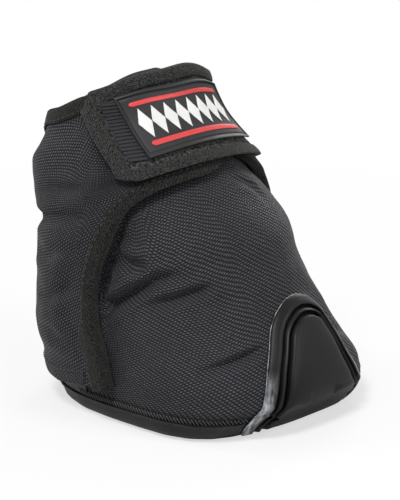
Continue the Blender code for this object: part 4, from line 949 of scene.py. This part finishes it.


# the sides and the heel hem take a darker copy of the vamp's nylon: painted shade over the whole side
shaded_side_nylon = basket_nylon("charcoal_nylon_sides_painted_shade", (0.0020, 0.0020, 0.0026), (0.074, 0.071, 0.083), weave_wide,
                           weave_tall, -0.90, 0.0)
strap_tall = 0.0375
side_cloth = {}
for side, sign, edge_points in (("near", -1, near_edge_points), ("far", 1, far_edge_points)):
    end_turn = sign * (180 - heel_gap_turn)
    edge, collar = wing_edge(edge_points, sign, end_turn)
    side_cloth[side] = np.concatenate((edge, collar[1:]))
    inner = move_over(side_cloth[side], panel_inset, -sign)
    turn, height, rim = side_grid(inner, len(edge), end_turn, 130, 190)
    spots = on_boot(turn, height)
    to_rim, _ = distance_to(on_boot(*rim[::3].T), spots)
    under_strap = np.clip((height - strap_low(turn) + 0.001) / 0.004 + 1, 0, 1)
    strap_share = np.clip((height - strap_low(turn)) / strap_tall, 0, 1)
    strap_end = strap_rear_turn if sign > 0 else tip_turn + tip_lean * strap_share
    under_strap *= smooth_step((strap_end + 9.0 - sign * turn) / 7.0)
    folds = broad_folds(turn, height, (((86, 0.0862), (150, 0.0795), 0.0060, -1.1),
                                       ((110, 0.1058), (180, 0.105), 0.0135, 0.5)))
    swell = cover_swell * smooth_step((to_rim - cover_seam) / cover_rise) * (1 + folds)
    swell += smooth_step((to_rim - 0.006) / 0.006) * (0.00035 * soft_lumps(spots, 0.028, 21 + sign)
                                                      + 0.00012 * soft_lumps(spots, 0.008, 25 + sign))
    for points, depth, width in (
            (((88, 0.0880), (100, 0.0860), (116, 0.0835), (140, 0.0805)), 0.0026, 0.0024),
            (((93, 0.0740), (102, 0.0705), (112, 0.0690), (124, 0.0705)), 0.0019, 0.0030),
            (((91, 0.0590), (99, 0.0545), (108, 0.0515), (120, 0.0500)), 0.0019, 0.0028),
            (((92, 0.0300), (101, 0.0335), (112, 0.0352), (126, 0.0345)), 0.0017, 0.0028),
            (((86, 0.1010), (95, 0.0985), (106, 0.0990)), 0.0014, 0.0026)):
        swell += crease(spots, [(sign * t, h) for t, h in points], depth, width)
    swell = np.maximum(swell * (1 - under_strap), cover_deepest)
    swell *= 1 - 0.85 * bell(sign * turn - 180, 2.2)
    swell -= 0.0010 * bell(sign * turn - 180, 0.7)
    cover = padded_panel(f"{side}_side_cover", turn, height, cover_out + swell, cover_in, shaded_side_nylon)
    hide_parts(f"{side}_wing_shell", "heel_shell")
    begin, finish = fold_line(sign)
    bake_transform(cover)

    turn, height, _ = side_grid(inner, len(edge), end_turn, 50, 90)
    inner_face = padded_panel(f"{side}_side_lining", turn, height, side_lining_out, side_lining_in, lining_knit)
    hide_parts(f"{side}_wing_lining", "heel_lining")
    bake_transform(inner_face)

turns = even_turns(100, 260, 90)
turn, height, share = upright_grid(turns, 60, vamp_low, collar_top(turns) - 0.010)
soft = 0.0005 * soft_lumps(on_boot(turn, height), 0.024, 31) * np.sin(np.pi * share)
heel_pad = padded_panel("heel_foam_pad", turn, height, heel_pad_front, heel_pad_rear + soft, lining_knit)
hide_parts("heel_padding")
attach(heel_pad, "boot")

# ---------------------------------------------------------------------------------------------------
# Edge tapes of the sides: folded felt tape clasps each wing's edge and the collar, with a row of sunk
# stitches along it. The heel's lower edge is the nylon itself, turned under and stitched.
side_tape_wide, tape_stitch_in, hem_wide, hem_stitch_in, heel_seam_turn = 0.0065, 0.0052, 0.0062, 0.0053, 177.2
for side, sign in (("near", -1), ("far", 1)):
    path = spread(side_cloth[side], 420)
    tape = bound_edge(f"{side}_side_tape", path, -sign, tape_in, tape_out, side_tape_wide, binding_felt)
    begin, finish = fold_line(sign)
    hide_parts(f"{side}_wing_binding", "heel_collar_binding")
    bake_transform(tape)
    row = stitch_row(f"{side}_tape_stitches", move_over(path, tape_stitch_in, -sign), tape_out + 0.0001,
                     *tape_stitch, 9, trim=0.002)
    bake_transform(row)

turns = even_turns(94.5, 265.5, 150, hem_height)
hem_path = places(turns, hem_height + 0.0040 * np.clip((np.abs(turns - 180) - 68) / 20, 0, 1))
hem = bound_edge("heel_hem", hem_path, 1, tape_in, cover_out + 0.0003, hem_wide, shaded_side_nylon, plump=0.0003)
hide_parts("heel_hem_binding")
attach(hem, "boot")
row = stitch_row("hem_stitches", move_over(hem_path, hem_stitch_in, 1), cover_out + stitch_lift,
                 *panel_stitch, 12, trim=0.001)
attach(row, "boot")
for side, sign in (("near", -1), ("far", 1)):
    seam = places(sign * heel_seam_turn, np.linspace(hem_height + 0.009, 0.108, 60))
    row = stitch_row(f"heel_seam_{side}", seam, cover_out + stitch_lift, *panel_stitch, 14)
    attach(row, "boot")

# ---------------------------------------------------------------------------------------------------
# Strap: a band of brushed felt with taped edges, sewn to the far wing and closed over the near one.
band_in, band_out, strap_tape_in, strap_tape_out, hinge_turn = 0.0082, 0.0100, 0.0071, 0.0111, 50.0
anchor_turn, end_low_turn, end_top_turn, corner = 82.0, -62.0, -90.0, 0.0065
strap_tape_wide, hinge_gap, bend_before, bend_after, seam_short = 0.0050, 0.001, 0.0045, 0.0050, 0.006


def strap_top(turn):
    """Height of the strap's top edge round the boot."""
    return collar_top(turn) + 0.0004


def brushed_felt(name, dark, light):
    """Brushed felt: tangled fibres of lighter and darker yarn that catch the light along the surface."""
    look, tree = finish_of(name, dark, 0.95, 0.08, ("Sheen Weight", 0.12), ("Sheen Roughness", 0.5),
                           ("Sheen Tint", (0.75, 0.75, 0.72, 1)))
    fibre = noise(tree, stirred(tree, on_object(tree), 0.0014, 600.0), 1500.0, 4.0, 0.75)
    clump = noise(tree, on_object(tree), 800.0, 4.0)
    paint(look, ramp(tree, compute(tree, "MULTIPLY", fibre, clump), 0.17, 0.40), dark, light)
    emboss(look, fibre, 0.8, 0.00035)
    return look


strap_felt = brushed_felt("dark_brushed_felt", (0.0040, 0.0040, 0.0038), (0.115, 0.115, 0.110))
corner_turns = math.degrees(corner * 1.4 / body_radius)
across = np.linspace(anchor_turn, end_low_turn + corner_turns, 200)
low_edge = places(across, strap_low(across))
across = np.linspace(end_top_turn + corner_turns, anchor_turn, 200)
top_edge = places(across, strap_top(across))
low_corner, top_corner = end_low_turn - corner_turns * 0.5, end_top_turn + corner_turns * 0.25
end_low, end_top = strap_low(end_low_turn) + corner, strap_top(end_top_turn) - corner
end_edge = through((
    low_edge[-1], (low_corner + corner_turns / 3, end_low - corner * 0.6), (low_corner, end_low),
    (top_corner, end_top), (top_corner + corner_turns / 3, end_top + corner * 0.6), top_edge[0]), 80)
strap_path = np.concatenate((low_edge, end_edge[1:-1], top_edge))
strap_edge_line = spread(strap_path, 560)
strap_tape_felt = felt_tape("strap_felt_tape", (0.0036, 0.0036, 0.0036), (0.060, 0.060, 0.059), 0.0013)
binding = bound_edge("strap_edge_tape", strap_edge_line, -1, strap_tape_in, strap_tape_out, strap_tape_wide,
                     strap_tape_felt)
hinge_low = on_boot(hinge_turn, strap_low(hinge_turn), strap_tape_out + hinge_gap)
hinge_top = on_boot(hinge_turn, collar_top(hinge_turn), strap_tape_out + hinge_gap)
hinge_outward = boot_axes(hinge_turn, (strap_low(hinge_turn) + collar_top(hinge_turn)) / 2)[2]
bend_aim = np.cross(hinge_top - hinge_low, hinge_outward)
bend_aim *= -np.sign(bend_aim @ (on_boot(52.0, 0.13) - on_boot(48.0, 0.13))) / np.linalg.norm(bend_aim)
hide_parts("strap_binding")
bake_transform(binding)

inner = move_over(strap_path, panel_inset, -1)
low_row, top_row = spread(inner[:200][::-1], 300), spread(inner[-200:], 300)
left = spread(np.concatenate((low_row[:1], inner[200:-200], top_row[:1])), 70)
right_side = np.stack([np.linspace(low_row[-1, k], top_row[-1, k], 70) for k in range(2)], axis=-1)
turn, height = fill_between(left, right_side, low_row, top_row)
spots = on_boot(turn, height)
to_rim, _ = distance_to(on_boot(*inner[::3].T), spots)
pile = 0.0005 * (1 - bell(to_rim, 0.008)) + 0.00010 * soft_lumps(spots, 0.006, 41)
band = padded_panel("strap_felt_band", turn, height, band_out + pile, band_in, strap_felt)
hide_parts("strap_band", "strap_anchor")
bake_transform(band)
for name, turn_at in (("rear", anchor_turn - 2.2), ("front", anchor_turn - 17.0)):
    seam = places(turn_at, np.linspace(strap_low(turn_at) + seam_short, strap_top(turn_at) - seam_short, 60))
    row = stitch_row(f"anchor_seam_{name}", seam, band_out + stitch_lift, *anchor_stitch, 17)
    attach(row, "far_wing")

# ---------------------------------------------------------------------------------------------------
# Ribbed webbing: a woven nylon strip sewn flat along the strap under the badge, with its cut end showing
# beside the badge. Its cross ribs are round cords of yarn.
web_in, web_out, web_margin, web_top_margin, web_start, web_end = 0.0107, 0.0115, 0.0070, 0.0056, -56.0, 45.0
rib_radius, rib_count = 0.00052, 17


def leaning_turn(low_turn, margin, share):
    """Turn at a share of the way up an edge that leans as the strap's free end does."""
    return low_turn + (end_top_turn - end_low_turn) * (strap_tall - 2 * margin) / strap_tall * share


def web_height(turn, share):
    """Height at a share of the way up the webbing."""
    return (strap_low(turn) + web_margin) * (1 - share) + (strap_top(turn) - web_top_margin) * share


web_look = speckled("ribbed_webbing", (0.0085, 0.0083, 0.0100), (0.003, 0.003, 0.004), (0.040, 0.038, 0.046),
                    0.6, 0.2, 1900.0, 3.0, 0.6, 0.0002)
share = np.linspace(0, 1, 24)[:, None]
across = np.linspace(0, 1, 150)[None, :]
turn = leaning_turn(web_start, web_margin, share) * (1 - across) + web_end * across
webbing = padded_panel("webbing_ground", turn, web_height(turn, share), web_out - 0.0003, web_in, web_look)
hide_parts("strap_webbing")
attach(webbing, "strap")
ribs, edges, thick = [], [], []
for k in range(rib_count):
    share = (k + 0.5) / rib_count
    start = leaning_turn(web_start, web_margin, share)
    turn = np.linspace(start + 0.1, start + 13.0, 16)
    edges += [(len(ribs) + i, len(ribs) + i + 1) for i in range(15)]
    ribs += on_boot(turn, web_height(turn, share) - 0.00012 * (turn - start), web_out - 0.0002).tolist()
    thick += [0.8] + [1.0 + 0.1 * math.sin(i * 1.9 + k) for i in range(15)]
ribs = grow("webbing_ribs", cord_tree, ribs, edges, {"thick": thick}, {"Thickness": rib_radius, "Sides": 8},
            web_look)
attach(ribs, "strap")

# ---------------------------------------------------------------------------------------------------
# Badge: a soft moulded rubber plate with a raised rim, sewn over the webbing. Its face carries a plain
# pattern of its own: a middle row of white lozenges between two thin red bars, moulded a little proud.
badge_in, badge_face, badge_start, badge_end, badge_lean = 0.0118, 0.0132, -44.5, 40.8, 8.0
badge_margin, badge_top_margin, badge_top_drop, badge_wide, badge_tall = 0.0066, 0.0042, 0.0018, 0.074, 0.0260


def on_badge(u, v, out):
    """Points on the badge at shares of its length and height."""
    u, v = np.broadcast_arrays(u, v)
    turn = leaning_turn(badge_start, badge_margin, v) * (1 - u) + (badge_end - badge_lean * v) * u
    top = collar_top(turn) - badge_top_margin - badge_top_drop * u
    return on_boot(turn, (strap_low(turn) + badge_margin) * (1 - v) + top * v, out)


badge_rubber = moulded_rubber("badge_rubber", (0.013, 0.013, 0.014), (0.026, 0.026, 0.028), 0.50, 1500.0,
                              specular=0.3)
rim_steps = np.array((
    # distance in from the edge, height of the rubber
    (0.0, -0.0006), (0.0002, 0.0001), (0.0005, 0.0005), (0.0009, 0.0005), (0.0012, 0.0001), (0.0014, -0.0004),
    (0.0018, -0.0004), (0.0020, -0.0001), (0.0023, 0.0), (0.0030, 0.0)))
rim_in = rim_steps[:, 0]
u, v = (np.concatenate((rim_in / size, np.linspace(start, 1 - start, count), 1 - rim_in[::-1] / size))
        for size, start, count in ((badge_wide, 0.055, 120), (badge_tall, 0.18, 30)))
u, v = u[None, :], v[:, None]
inward = np.minimum(np.minimum(u, 1 - u) * badge_wide, np.minimum(v, 1 - v) * badge_tall)
relief = np.interp(inward, rim_in, rim_steps[:, 1])
badge = closed_sheet("badge", on_badge(u, v, badge_face + relief), on_badge(u, v, badge_in), badge_rubber)
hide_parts("badge_plate")
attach(badge, "strap")
white_rubber = moulded_rubber("white_rubber", (0.80, 0.80, 0.79), (0.62, 0.62, 0.61), 0.45, 1500.0)
red_rubber = moulded_rubber("red_rubber", (0.62, 0.045, 0.045), (0.50, 0.035, 0.035), 0.45, 1500.0)


def raised_shape(name, low_side, high_side, look, lift=0.0005):
    """A moulded mark on the badge between a lower and an upper line of (u, v) places."""
    low_side, high_side = np.array(low_side, float), np.array(high_side, float)
    share = np.array((0.0, 0.0, 0.12, 0.3, 0.5, 0.7, 0.88, 1.0, 1.0))[:, None]
    u = low_side[None, :, 0] * (1 - share) + high_side[None, :, 0] * share
    v = low_side[None, :, 1] * (1 - share) + high_side[None, :, 1] * share
    rise = np.array((-0.0002, 0.55, 0.95, 1, 1, 1, 0.95, 0.55, -0.0002))[:, None] * lift + 0 * u
    rise[0], rise[-1] = -0.0004, -0.0004
    return closed_sheet(name, on_badge(u, v, badge_face + rise), on_badge(u, v, badge_face - 0.0005), look)


# sizes of the marks as shares of the badge's length and height
lozenge_count, first_middle, lozenge_pitch = 8, 0.125, 0.107
lozenge_half, lozenge_rise, lozenge_tip = 0.050, 0.225, 0.012
marks, middle_height, bar_half, bar_start, bar_end, bar_taper = [], 0.50, 0.036, 0.075, 0.925, 0.015
for k in range(lozenge_count):
    middle = first_middle + k * lozenge_pitch
    spots = np.linspace(-1, 1, 13)
    half = lozenge_rise * (1 - np.abs(spots)) + lozenge_tip
    sides = [places(middle + lozenge_half * spots, middle_height + side * half) for side in (-1, 1)]
    marks.append(raised_shape(f"badge_lozenge_{k + 1}", *sides, white_rubber))
spots = np.linspace(bar_start, bar_end, 60)
taper = np.clip(np.minimum(spots - bar_start, bar_end - spots) / bar_taper, 0.05, 1)
for name, height in (("badge_low_bar", 0.185), ("badge_high_bar", 0.815)):
    sides = [places(spots, height + side * bar_half * taper) for side in (-1, 1)]
    marks.append(raised_shape(name, *sides, red_rubber))
for piece in marks:
    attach(piece, "strap")

# ---------------------------------------------------------------------------------------------------
# Fastening: a field of small nylon hooks under the strap's free end grips a field of brushed loops on the
# near wing. Both are thin tapes sewn flat.
field_wide, field_low_turn, field_end_turn, fibre_gloss = 0.022, -54.7, -20.0, (0.8, 0.3)
loop_in, loop_out, hook_in, hook_out = 0.0058, 0.0064, 0.0069, 0.0075


def fastening_tape(name, inner, outer, look):
    """A thin tape over the fastening field."""
    share = np.linspace(0, 1, 14)[:, None]
    across = np.linspace(0, 1, 60)[None, :]
    start = field_low_turn + (end_top_turn - end_low_turn) * (field_wide / strap_tall) * share
    turn = start * (1 - across) + field_end_turn * across
    middle = (strap_low(turn) + collar_top(turn)) / 2
    return padded_panel(name, turn, middle + field_wide * (share - 0.5), outer, inner, look)


brushed_loops = dotted_cloth("brushed_loops", (0.010, 0.010, 0.010), (0.055, 0.055, 0.053), 1500.0, 0.5,
                             (0.55, 0.08), 0.9, 0.0004, *fibre_gloss)
loop_tape = fastening_tape("loop_field", loop_in, loop_out, brushed_loops)
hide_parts("loop_patch")
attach(loop_tape, "near_wing")
moulded_hooks = dotted_cloth("moulded_hooks", (0.012, 0.012, 0.013), (0.075, 0.075, 0.080), 900.0, 0.5,
                             (0.55, 0.08), 1.0, 0.0004, *fibre_gloss)
hook_tape = fastening_tape("hook_field", hook_in, hook_out, moulded_hooks)
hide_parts("hook_patch")
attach(hook_tape, "strap")
